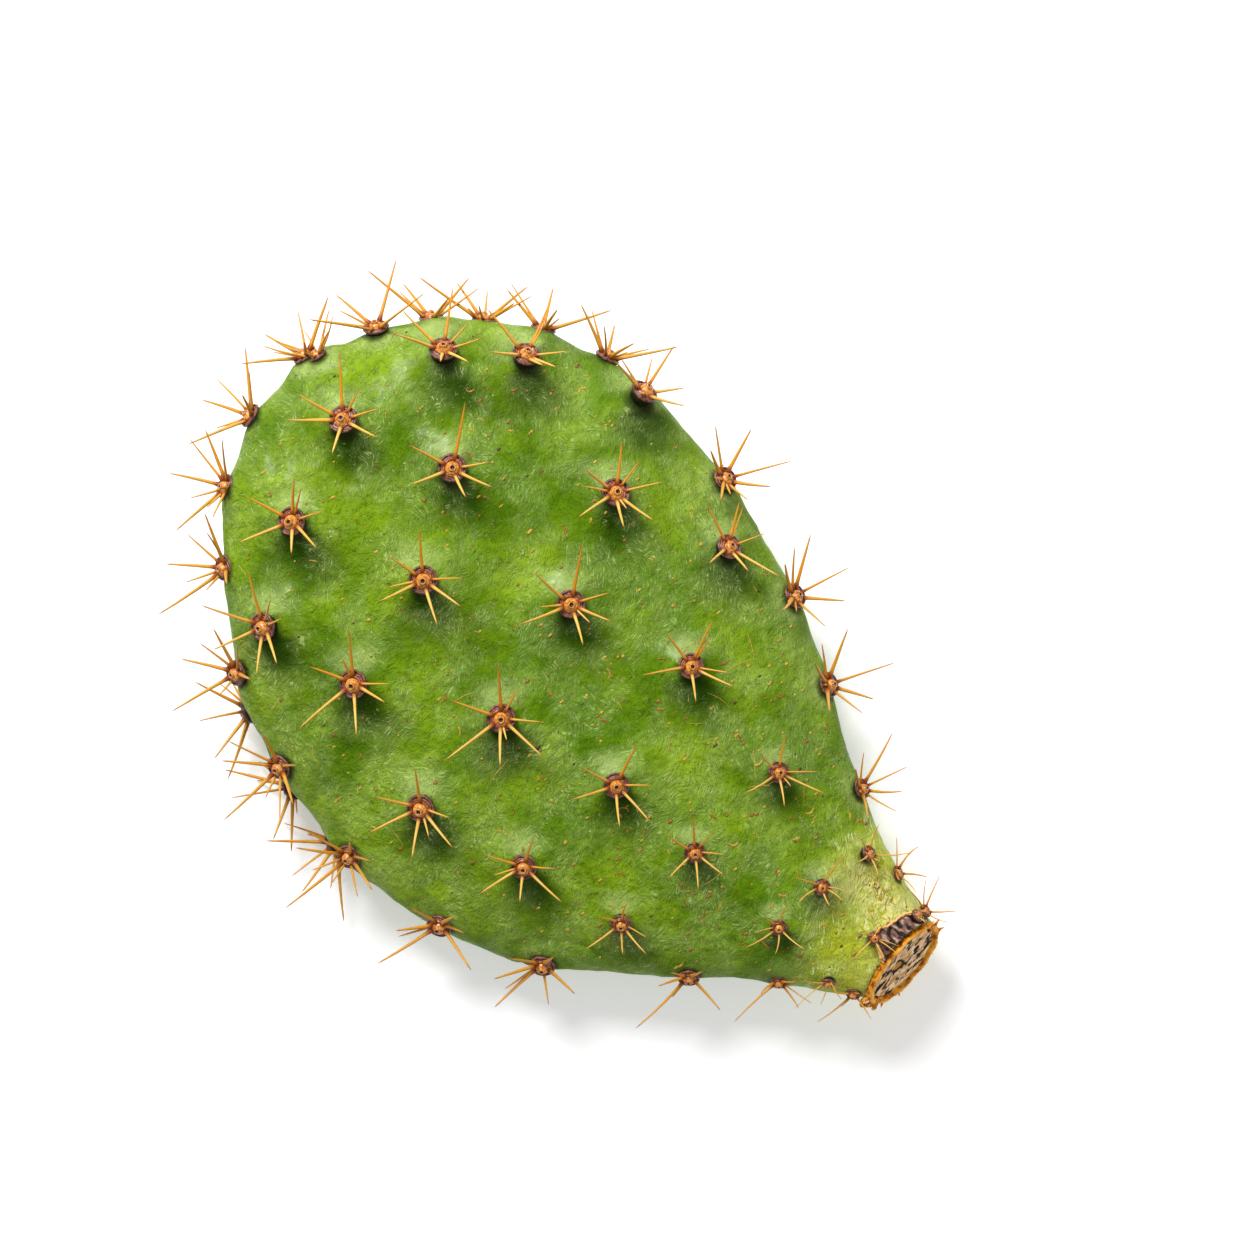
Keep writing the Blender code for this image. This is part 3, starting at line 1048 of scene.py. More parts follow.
@dataclass(frozen=True)
class SpineFinish:
    """Horny spines: a red-brown foot, an amber or cream shaft and a darker point; the cream is a painted
    highlight on spines that point away from the light, and painted shade darkens each spine's side away
    from it.
    """

    foot: Colour = (0.24, 0.04, 0.01)
    amber: Colour = (0.66, 0.265, 0.008)
    cream: Colour = (0.88, 0.55, 0.12)
    side: Colour = (0.36, 0.10, 0.008)
    point: Colour = (0.36, 0.12, 0.02)
    band: float = 2.2

    def build(self) -> bpy.types.Material:
        """Build the spines' material.

        Returns:
            The material.
        """
        horn = Coating("horny spine", 0.4, 0.05, 0.2)
        lay = horn.lay
        far = lay.mark("along")
        # Painted highlight: cream on spines that point away from the light, by the tone mark.
        horn.colour = lay.blend(lay.mark("tone"), self.amber, self.cream)
        horn.paint(self.amber, lay.step(lay.noise(lay.place(), self.band, 2.0), 0.45, 0.7, 0.35))
        horn.paint(self.foot, lay.step(far, 0.2, 0.03))
        horn.paint(self.point, lay.step(far, 0.82, 1.0, 0.8))
        # Painted shade on each spine's side away from the light.
        horn.paint(self.side, lay.mark("under"), 0.7)
        return horn.finish()


@dataclass(frozen=True)
class CallusFinish:
    """Dry cork: an orange lip with a painted highlight along its top, a grey-tan face with dark dashes
    along it, an orange split and a painted shadow in the groove inside the lower lip.
    """

    lip: Colour = (1.0, 0.40, 0.015)
    lip_dark: Colour = (0.40, 0.10, 0.004)
    face: Colour = (0.92, 0.67, 0.38)
    face_dark: Colour = (0.50, 0.24, 0.075)
    rot: Colour = (0.72, 0.30, 0.05)
    crown: Colour = (1.0, 0.55, 0.11)
    pit: Colour = (0.010, 0.006, 0.004)
    wall: Colour = (0.11, 0.055, 0.012)
    lip_size: float = 1.4
    face_size: float = 1.6
    dash_size: float = 1.5
    dash_stretch: float = 0.5
    depth: float = 0.3

    def build(self, effects: Effects) -> bpy.types.Material:
        """Build the callus's material.

        Args:
            effects: the shared node groups.

        Returns:
            The material.
        """
        cork = Coating("dry callus", 0.65, specular=0.15)
        lay, mottle = cork.lay, effects.mottle
        rim = lay.group(mottle, Light=self.lip, Dark=self.lip_dark, Size=self.lip_size, Contrast=0.12)
        face = lay.group(mottle, Light=self.face, Dark=self.face_dark, Size=self.face_size, Contrast=0.14)
        drawn = {0: lay.times(lay.mark("across"), self.dash_stretch), 1: lay.mark("up")}
        dashes = lay.noise(lay.node("CombineXYZ", drawn).outputs[0], self.dash_size, 3.0)
        dashes = lay.step(dashes, 0.535, 0.56)
        split = lay.mark("split")
        cork.colour = face.outputs["Colour"]
        cork.paint(self.pit, dashes)
        # Black at the rot's edge and, as a painted shadow, in the groove inside the lower lip.
        cork.paint(self.pit, lay.step(split, 0.15, 0.4))
        cork.paint(self.rot, lay.step(split, 0.6, 0.85, 0.8))
        cork.paint(rim.outputs["Colour"], lay.step(lay.mark("lip"), 0.05, 0.5))
        # Painted highlight along the top of the lip.
        cork.paint(self.crown, lay.mark("crown"), 0.75)
        cork.paint(self.wall, lay.mark("wall"), 0.3)
        return cork.finish(lay.plus(rim.outputs["Height"], lay.times(dashes, -0.6)), self.depth)


@dataclass(frozen=True)
class CorkFinish:
    """Small corky marks, from straw yellow to rust and dark brown."""

    straw: Colour = (0.66, 0.46, 0.04)
    rust: Colour = (0.42, 0.16, 0.012)
    brown: Colour = (0.08, 0.03, 0.012)
    dirt: Colour = (0.35, 0.3, 0.25)
    size: float = 0.4

    def build(self, effects: Effects) -> bpy.types.Material:
        """Build the marks' material.

        Args:
            effects: the shared node groups.

        Returns:
            The material.
        """
        cork = Coating("corky marks", 0.55)
        lay = cork.lay
        tint = lay.mark("tint")
        cork.colour = lay.blend(lay.step(tint, 0.45, 0.75), self.straw, self.rust)
        cork.paint(self.brown, lay.step(tint, 0.85, 1.0))
        tone = lay.group(effects.mottle, Light=WHITE, Dark=self.dirt, Size=self.size, Contrast=0.2)
        cork.paint(tone.outputs["Colour"], 1.0, kind="MULTIPLY")
        return cork.finish()


@dataclass(frozen=True)
class TornFinish:
    """Torn dry layers: grey-brown with pale fibres, a near black painted shadow where the layers sink, and
    a cork-orange edge.
    """

    bark: Colour = (0.27, 0.13, 0.09)
    pale: Colour = (0.74, 0.54, 0.42)
    painted_gap_shadow: Colour = (0.012, 0.005, 0.004)
    edge: Colour = (1.0, 0.58, 0.20)
    dirt: Colour = (0.5, 0.42, 0.38)
    size: float = 0.5
    depth: float = 0.2

    def build(self, effects: Effects) -> bpy.types.Material:
        """Build the torn patch's material.

        Args:
            effects: the shared node groups.

        Returns:
            The material.
        """
        torn = Coating("torn layers", 0.7)
        lay = torn.lay
        layer = lay.mark("layer")
        torn.colour = lay.blend(lay.step(layer, 0.15, 0.6), self.bark, self.pale)
        # Painted shadow in the gaps, where the layers sink lowest.
        torn.paint(self.painted_gap_shadow, lay.step(layer, 0.02, -0.18))
        tone = lay.group(effects.mottle, Light=WHITE, Dark=self.dirt, Size=self.size, Contrast=0.2)
        torn.paint(tone.outputs["Colour"], 1.0, kind="MULTIPLY")
        torn.paint(self.edge, lay.step(lay.mark("edge"), 0.25, 0.7))
        return torn.finish(tone.outputs["Height"], self.depth)


# ---------------------------------------------------------------------------------------------------------
# The pad's pieces


@dataclass(frozen=True)
class Tail:
    """A tone that trails from an areole across the skin, widening as it goes."""

    lean: float
    width: float
    flare: float
    reach: Span
    start: Span
    fade: Span

    def at(self, aside: Array, ahead: Array, away: Array) -> Array:
        """Measure the tone.

        Args:
            aside: how far each point lies to the side of the areole.
            ahead: how far along the tail's way.
            away: how far in all.

        Returns:
            The tone's strength at each point.
        """
        spread = bell(aside + self.lean * ahead, self.width + self.flare * np.abs(ahead))
        close = smooth(*self.reach, away)
        return spread * close * smooth(*self.start, ahead) * (1 - smooth(*self.fade, ahead))


@dataclass
class Flesh:
    """The body's skin: one closed skin with a swelling under each areole and soft unevenness between."""

    form: PadForm
    areoles: list[Areole]
    segments: int = 384
    rings: int = 246
    crowding: float = 44.0
    plain_reach: float = 9.5
    broad_reach: float = 11.0
    narrow_reach: float = 5.6
    peak: float = 1.0
    hollow: float = 1.4
    hollow_reach: float = 6.0
    hollow_below: float = 8.5
    hollow_aside: float = 1.5
    held_reach: float = 8.0
    slack: float = 1.3
    slack_reach: float = 8.0
    crease: float = 0.35
    crease_line: Lumps = Lumps(1.0, 21.0, 31.0)
    crease_width: float = 0.06
    crease_patch: Lumps = Lumps(1.0, 19.0, 32.0)
    lump: float = 0.75
    lumps: tuple[Lumps, ...] = (Lumps(1.0, 17.0, 1.0), Lumps(0.4, 8.0, 34.0))
    wrinkle: float = 0.19
    wrinkles: tuple[Lumps, ...] = (Lumps(1.0, 4.6, 2.0), Lumps(0.7, 2.6, 33.0))
    fold: float = 0.5
    fold_line: Lumps = Lumps(1.0, 9.0, 36.0)
    fold_width: float = 0.13
    fold_patch: Lumps = Lumps(1.0, 23.0, 37.0)
    grain: tuple[Lumps, ...] = (Lumps(9, 26.0, 3.0), Lumps(4.5, 9.0, 4.0), Lumps(1.2, 3.5, 14.0))
    cross_grain: tuple[Lumps, ...] = (Lumps(8, 20.0, 5.0), Lumps(4, 8.0, 6.0), Lumps(1.2, 3.3, 16.0))
    neck_edge: Lumps = Lumps(6, 12.0, 7.0)
    swirl: float = 1.5
    swirl_reach: float = 9.0
    # The painted highlight on each front areole's side towards the light, and the painted shade trailing
    # away from it.
    painted_highlight_tail: Tail = Tail(0.15, 3.4, 0.5, (16, 10), (0.5, 3.5), (4, 12))
    painted_shade_tail: Tail = Tail(-0.3, 4.2, 0.45, (24, 17), (0.0, 4), (4, 22))
    # The painted highlight round the areoles of the right rim.
    rim_painted_highlight: float = 0.7
    rim_painted_highlight_radius: float = 4.5
    rim_painted_highlight_width: float = 3.5
    # How far the painted shadow round each cup is shifted away from the light.
    painted_shadow_shift: float = 0.7

    def stations(self) -> Array:
        """Space the rings, closest together at the tip.

        Returns:
            Their stations, from the tip to the cut.
        """
        span = math.hypot(self.rings - 1, self.crowding) - self.crowding
        share = (np.hypot(np.arange(1, self.rings), self.crowding) - self.crowding) / span
        return self.form.length - (self.form.length - self.form.cut_y) * share

    def turns(self, y: float) -> Array:
        """Space turns evenly round one section.

        Args:
            y: the section's station.

        Returns:
            One turn for each segment.
        """
        fine = np.linspace(0, 2 * math.pi, 12 * self.segments + 1)
        points = self.form.skin(np.full(fine.shape, y), fine)
        steps = np.linalg.norm(np.diff(points, axis=0), axis=1)
        lengths = np.concatenate(([0.0], np.cumsum(steps)))
        return np.interp(np.arange(self.segments) / self.segments * lengths[-1], lengths, fine)

    def swellings(self, points: Array) -> tuple[Array, Array]:
        """Measure the swelling under each areole and the hollow below it.

        Args:
            points: places on the plain body.

        Returns:
            How far the flesh stands out, and how firmly the rim's areoles hold it there.
        """
        lift, held = np.zeros(points.shape[:-1]), np.zeros(points.shape[:-1])
        for a in self.areoles:
            away = np.linalg.norm(points - a.place, axis=-1) / a.size
            if a.side is not Side.FRONT:
                lift += a.swelling * bell(away, self.plain_reach)
                held += bell(away, self.held_reach)
                continue
            half = 0.5 * (a.swelling + self.peak * a.size)
            lift += half * bell(away, self.broad_reach)
            lift += half * bell(away, self.narrow_reach)
            sunk = a.place - (SKYWARD * self.hollow_below - LEEWARD * self.hollow_aside) * a.size
            away = np.linalg.norm(points - sunk, axis=-1) / a.size
            lift -= self.hollow * a.size * bell(away, self.hollow_reach)
        return lift, held

    def relief(self, points: Array) -> Array:
        """Measure how far the flesh stands out from the plain body.

        Args:
            points: places on the plain body.

        Returns:
            Its height there, in millimetres.
        """
        x, y, z = points[..., 0], points[..., 1], points[..., 2]
        lift, held = self.swellings(points)
        broken = smooth(-0.1, 0.3, self.crease_patch.at(points))
        lift -= self.crease * broken * bell(self.crease_line.at(points), self.crease_width)
        lift += self.lump * uneven(points, self.lumps)
        lift += self.wrinkle * uneven(points, self.wrinkles)
        folded = smooth(-0.2, 0.3, self.fold_patch.at(points))
        folds = bell(self.fold_line.at(points), self.fold_width) * folded
        lift += self.fold * (folds - 0.3) * (0.35 + 0.65 * smooth(100, 150, y))
        drawn = smooth(-25, 15, x) * smooth(45, 80, y)
        lift -= self.slack * drawn * bell(z, self.slack_reach) * np.clip(1 - held, 0, 1)
        return lift * smooth(0.5, 6.0, y - self.form.cut_y)

    def over(self, x: Array, y: Array) -> tuple[Array, Array]:
        """Find places on the front of the finished skin.

        Args:
            x: across the pad.
            y: along it.

        Returns:
            The points, and the way that the skin faces there.
        """
        at = self.form.on_face(x, y, Side.FRONT)
        points, out = self.form.skin(*at), self.form.facing(*at)
        return points + out * self.relief(points)[..., None], out

    def build(self, material: bpy.types.Material) -> bpy.types.Object:
        """Shape a sphere's rings into the pad.

        Args:
            material: the skin's finish.

        Returns:
            The piece.
        """
        bpy.ops.object.select_all(action="DESELECT")
        bpy.ops.mesh.primitive_uv_sphere_add(segments=self.segments, ring_count=self.rings, radius=1)
        made = bpy.context.active_object
        made.name = made.data.name = "pad_skin"
        ball = corners_of(made)
        ring = np.rint(np.arccos(np.clip(ball[:, 2], -1, 1)) / math.pi * self.rings).astype(int)
        step = np.rint(np.arctan2(ball[:, 1], ball[:, 0]) / (2 * math.pi) * self.segments).astype(int)
        step %= self.segments
        stations = self.stations()
        turns = np.stack([self.turns(y) for y in stations])
        k = np.clip(ring - 1, 0, len(stations) - 1)
        y, turn = stations[k], turns[k, step]
        points, out = self.form.skin(y, turn), self.form.facing(y, turn)
        points[ring == 0] = self.form.skin(self.form.length, 0.0)
        front = self.form.skin(self.form.cut_y, math.pi / 2)
        points[ring == self.rings] = (front + self.form.skin(self.form.cut_y, -math.pi / 2)) / 2
        inner = (ring > 0) & (ring < self.rings)
        points[inner] += out[inner] * self.relief(points[inner])[:, None]
        reshape(made, points)
        self.mark(made, points)
        face_outwards()
        made.data.shade_smooth()
        made.data.materials.append(material)
        return made

    def mark(self, made: bpy.types.Object, points: Array) -> None:
        """Store what the finish reads: painted highlights and painted shade round the front areoles, the
        painted shadow round each cup, the neck, worn skin, the rim and the grain.

        Args:
            made: the piece.
            points: its corners, in the pad's space.
        """
        x, y, z = points.T
        painted_highlight, hollow, swirl = np.zeros(len(points)), np.zeros(len(points)), np.zeros(len(points))
        near = np.full(len(points), 99.0)
        for a in self.areoles:
            away = np.linalg.norm(points - a.place, axis=1) / a.size
            # The painted shadow round each cup is measured from a point shifted away from the light.
            shaded = a.place - SKYWARD * self.painted_shadow_shift * a.size
            near = np.minimum(near, np.linalg.norm(points - shaded, axis=1) / a.size)
            swirl += bell(away, self.swirl_reach) * (away - self.swirl_reach)
            # Painted highlight round each areole of the right rim.
            if a.side is Side.RIM and a.place[0] > 0:
                ring = bell(away - self.rim_painted_highlight_radius, self.rim_painted_highlight_width)
                painted_highlight += self.rim_painted_highlight * ring * smooth(0.5, 4.0, z)
            if a.side is Side.FRONT:
                aside = (points - a.place) @ LEEWARD / a.size
                upward = (points - a.place) @ SKYWARD / a.size
                # Painted highlight on the side towards the light.
                painted_highlight += self.painted_highlight_tail.at(aside, upward, away)
                # Painted shade trailing from each front areole away from the light.
                hollow += self.painted_shade_tail.at(aside, -upward, away)
        grain = y - 0.25 * x + 0.7 * z + uneven(points, self.grain) + self.swirl * swirl
        neck = y - 0.4 * np.minimum(x, 16.0) + self.neck_edge.at(points)
        rubbed = bell(x - 7.5, 5.5) * smooth(6, 9, y) * (1 - smooth(17, 33, y))
        set_mark(made, "grain", grain)
        set_mark(made, "cross_grain", 0.75 * y - 0.66 * x + z + uneven(points, self.cross_grain))
        set_mark(made, "painted_highlight", np.clip(painted_highlight, 0, 1))
        set_mark(made, "hollow", np.clip(hollow, 0, 1))
        set_mark(made, "near", near)
        set_mark(made, "neck", 1 - smooth(-1, 34, neck))
        set_mark(made, "worn", rubbed * smooth(0, 3, z))
        set_mark(made, "rim", bell(z - 1.5, 5.0))


@dataclass(frozen=True)
class CushionLayer:
    """One turned layer of an areole of size one, how rough it is and where shade is painted on it."""

    name: str
    profile: Profile
    sides: int
    rough: float
    grain: float
    offset: tuple[float, float, float]
    dark_inside: Span
    dark_below: Span
    below_share: float = 1.0
    groove: Span = (0.0, 1.0)
    groove_share: float = 0.0

    def roughened(self, corners: Array, rng: random.Random) -> Array:
        """Make one copy uneven in its own way.

        Args:
            corners: the turned shape's.
            rng: gives the copy its patterns.

        Returns:
            The copy's corners.
        """
        shape = corners.copy()
        radius = np.linalg.norm(shape[:, :2], axis=1)
        aside = Lumps(1.0, self.grain, rng.uniform(0, 50)).at(shape)
        shape[:, :2] += unit(shape[:, :2]) * (self.rough * aside * (radius > 0.8))[:, None]
        shape[:, 2] += Lumps(self.rough * 0.7, self.grain, rng.uniform(0, 50)).at(shape)
        return shape

    def painted_shade_at(self, corners: Array, shape: Array) -> Array:
        """Measure where shade is painted: inside the layer, towards its foot and in its groove.

        Args:
            corners: the turned shape's.
            shape: the uneven copy's.

        Returns:
            0 to 1 for each corner.
        """
        radius = np.linalg.norm(corners[:, :2], axis=1)
        below = smooth(*self.dark_below, shape[:, 2]) * self.below_share
        groove = self.groove_share * bell(radius - self.groove[0], self.groove[1])
        return np.maximum(np.maximum(smooth(*self.dark_inside, radius), below), groove)


CUP = CushionLayer(
    "areole_cups",
    ((2.75, -1.6), (2.85, -0.3), (3.2, 0.1), (3.42, 0.45), (3.38, 0.78), (3.12, 0.98), (2.85, 0.9),
     (2.6, 0.5), (1.5, 0.1), (0, 0.1)),
    30, 0.16, 1.3, (0, 0, 0), (2.95, 2.6), (0.4, 0.0),
)
RING = CushionLayer(
    "areole_rings",
    ((2.1, -0.3), (2.62, 0.2), (2.74, 0.62), (2.62, 0.92), (2.46, 0.98), (2.34, 0.84), (2.24, 1.0),
     (2.12, 1.3), (1.96, 1.38), (1.8, 1.25), (1.2, 0.8), (0, 0.8)),
    28, 0.30, 0.75, (-0.05, -0.05, 0), (1.9, 1.5), (0.5, 0.0), groove=(2.33, 0.1), groove_share=0.8,
)
DOME = CushionLayer(
    "areole_domes",
    ((1.66, 0.5), (1.78, 0.9), (1.72, 1.3), (1.46, 1.75), (1.14, 2.05), (0.88, 2.22), (0.9, 2.5),
     (0.74, 2.72), (0.54, 2.68), (0.42, 2.3), (0, 2.0)),
    24, 0.13, 0.9, (-0.2, -0.25, 0), (0.6, 0.42), (1.1, 0.5), 0.6, (0.95, 0.12), 0.45,
)


@dataclass
class AreoleCushions:
    """The areoles: a felted cup, a lumpy ring in it and a woody dome with a pitted nub."""

    areoles: list[Areole]
    tops: list[Array]
    layers: tuple[CushionLayer, ...] = (CUP, RING, DOME)
    seed: int = 7

    def build(self, finishes: Sequence[bpy.types.Material]) -> list[bpy.types.Object]:
        """Set each layer on every areole.

        Args:
            finishes: of the cups, the rings and the domes.

        Returns:
            One piece of each kind.
        """
        made = []
        patterns = [turned(layer.profile, layer.sides) for layer in self.layers]
        for i, (layer, pattern, finish) in enumerate(zip(self.layers, patterns, finishes)):
            gathering = Gathering()
            rng = random.Random(self.seed + i)
            for areole, top in zip(self.areoles, self.tops):
                shape = layer.roughened(pattern.corners, rng)
                # Painted shade at each layer's foot, inside it and in its groove.
                deep = layer.painted_shade_at(pattern.corners, shape)
                gathering.add(seat(shape + layer.offset, areole, top), pattern.faces, deep=deep)
            made.append(gathering.make(layer.name, finish))
        return made


@dataclass(frozen=True)
class Short:
    """A short spine of a fan: its bearing, its length and how often it is there."""

    bearing: float
    length: float
    chance: float


@dataclass(frozen=True)
class Spine:
    """One spine: where it starts, the way it grows, its sizes and its tone."""

    start: Array
    direction: Array
    reach: float
    radius: float
    bend: Array
    tone: float


@dataclass
class SpineFans:
    """The spines of every areole: the fan of long ones and a few short ones between them."""

    plan: AreolePlan
    areoles: list[Areole]
    tops: list[Array]
    seed: int = 41
    radius: float = 0.42
    short_girth: float = 0.72
    rim_stretch: float = 1.15
    rim_girth: float = 1.3
    rim_tone: float = 0.4
    stunted: float = 0.3
    stunted_below: float = 8.0
    bearing_play: float = 15.0
    lean_play: Span = (-8, 4)
    reach_play: Span = (0.78, 1.12)
    foot_out: float = 1.75
    foot_up: float = 1.0
    foot_sunk: float = 0.45
    clear_of_rest: float = 0.4
    tone_play: float = 0.15
    stiff: float = 0.05
    limp: float = 0.2
    limp_sizes: Span = (0.85, 0.55)
    short_front: tuple[Short, ...] = (
        Short(311, 10, 0.95), Short(8, 8.5, 0.7), Short(60, 6.5, 0.15), Short(250, 5.5, 0.35),
        Short(128, 8, 0.3)
    )
    short_rim: tuple[Short, ...] = (
        Short(65, 12, 0.95), Short(235, 10, 0.85), Short(330, 13, 0.95), Short(140, 8, 0.7),
        Short(190, 6, 0.5)
    )
    short_back: tuple[Short, ...] = (
        Short(15, 5, 0.6), Short(105, 6, 0.6), Short(195, 5, 0.6), Short(285, 6, 0.6)
    )
    profile: Profile = (
        (0.5, -0.06), (1.1, 0.0), (1.45, 0.05), (1.0, 0.13), (0.82, 0.4), (0.62, 0.7), (0.4, 0.92),
        (0.12, 1.0)
    )
    sides: int = 7

    def place(self, gathering: Gathering, pattern: Pattern, spine: Spine) -> None:
        """Add one spine, bent a little along its length and clear of what the pad rests on.

        Args:
            gathering: takes the spine.
            pattern: a straight spine, one unit long and about one in radius.
            spine: where it goes.
        """
        start, direction = spine.start, spine.direction
        low = self.plan.rest_level + self.clear_of_rest
        if start[2] + direction[2] * spine.reach < low:
            lowest = max(-1.0, min(1.0, (low - start[2]) / spine.reach))
            level = unit(direction[:2]) * math.sqrt(1 - lowest * lowest)
            direction = np.array((level[0], level[1], lowest))
        first = unit(np.cross(direction, (0.31, 0.47, 0.83)))
        second = np.cross(direction, first)
        shape = pattern.corners
        far = shape[:, 2:]
        outward = shape[:, :1] * first + shape[:, 1:2] * second
        corners = start + far * spine.reach * direction + spine.radius * outward
        corners = corners + spine.bend * far**2
        # Painted shade: marks the side of the spine that faces away from the light.
        under = smooth(0.35, -0.6, unit(outward) @ unit(SKYWARD + (0, 0, 1.2)))
        share = np.clip(shape[:, 2], 0, 1)
        gathering.add(corners, pattern.faces, along=share, tone=spine.tone, under=under)

    def build(self, material: bpy.types.Material) -> bpy.types.Object:
        """Grow all the spines.

        Args:
            material: their finish.

        Returns:
            One piece.
        """
        pattern = turned(self.profile, self.sides)
        gathering = Gathering()
        rng, extra = random.Random(self.seed), random.Random(self.seed + 1)
        for areole, top in zip(self.areoles, self.tops):
            for spine in self.fan(areole, top, rng, extra):
                self.place(gathering, pattern, spine)
        return gathering.make("spines", material)

    def fan(self, areole: Areole, top: Array, rng: random.Random, extra: random.Random) -> list[Spine]:
        """Lay out one areole's spines.

        Args:
            areole: the one that they grow from.
            top: where it stands.
            rng: draws the long spines' places.
            extra: draws all else.

        Returns:
            The spines.
        """
        first, other = areole.axes()
        girth = self.radius * areole.size**1.2
        limp = self.stiff + self.limp * float(smooth(*self.limp_sizes, areole.size))
        by_cut = areole.side is Side.FRONT and areole.place[1] < self.stunted_below and areole.place[0] > 0
        stretch, tint = self.stunted if by_cut else 1.0, 1.0
        if areole.side is Side.RIM:
            stretch, tint = self.rim_stretch, self.rim_tone
            girth *= self.rim_girth
        shorts = {Side.FRONT: self.short_front, Side.RIM: self.short_rim, Side.BACK: self.short_back}
        kinds = [(bearing, length, 1.0, True) for bearing, length in areole.fan]
        kinds += [(short.bearing, short.length, short.chance, False) for short in shorts[areole.side]]
        made = []
        for bearing, length, chance, long in kinds:
            draw = rng if long else extra
            if not long and extra.random() > chance * smooth(0.2, 1.0, areole.size):
                continue
            angle = math.radians(bearing + draw.uniform(-self.bearing_play, self.bearing_play))
            lean = math.radians(areole.lean + draw.uniform(*self.lean_play))
            reach = length * draw.uniform(*self.reach_play) * (0.1 + 0.9 * areole.size) * stretch
            sideways = first * math.cos(angle) + other * math.sin(angle)
            start = top + sideways * self.foot_out * areole.size
            start = start + areole.facing * self.foot_up * areole.size
            direction = areole.facing * math.cos(lean) + sideways * math.sin(lean)
            # Painted highlight: the tone runs to cream on spines that point away from the light.
            tone = 0.5 - 0.5 * float(sideways.dot(SKYWARD)) + extra.uniform(-self.tone_play, self.tone_play)
            bend = np.array([extra.uniform(-limp, limp) * reach for _ in range(3)])
            bend[2] *= 0.5
            radius = girth if long else girth * self.short_girth
            tone = min(1.0, max(0.0, tone * tint))
            made.append(Spine(start, direction, reach - self.foot_sunk, radius, bend, tone))
        return made


@dataclass(frozen=True)
class Loop:
    """Where a ragged loop of cork stands beside the cut, how it tilts and how big it is."""

    x: float
    y: float
    z: float
    tilt: float
    size: float


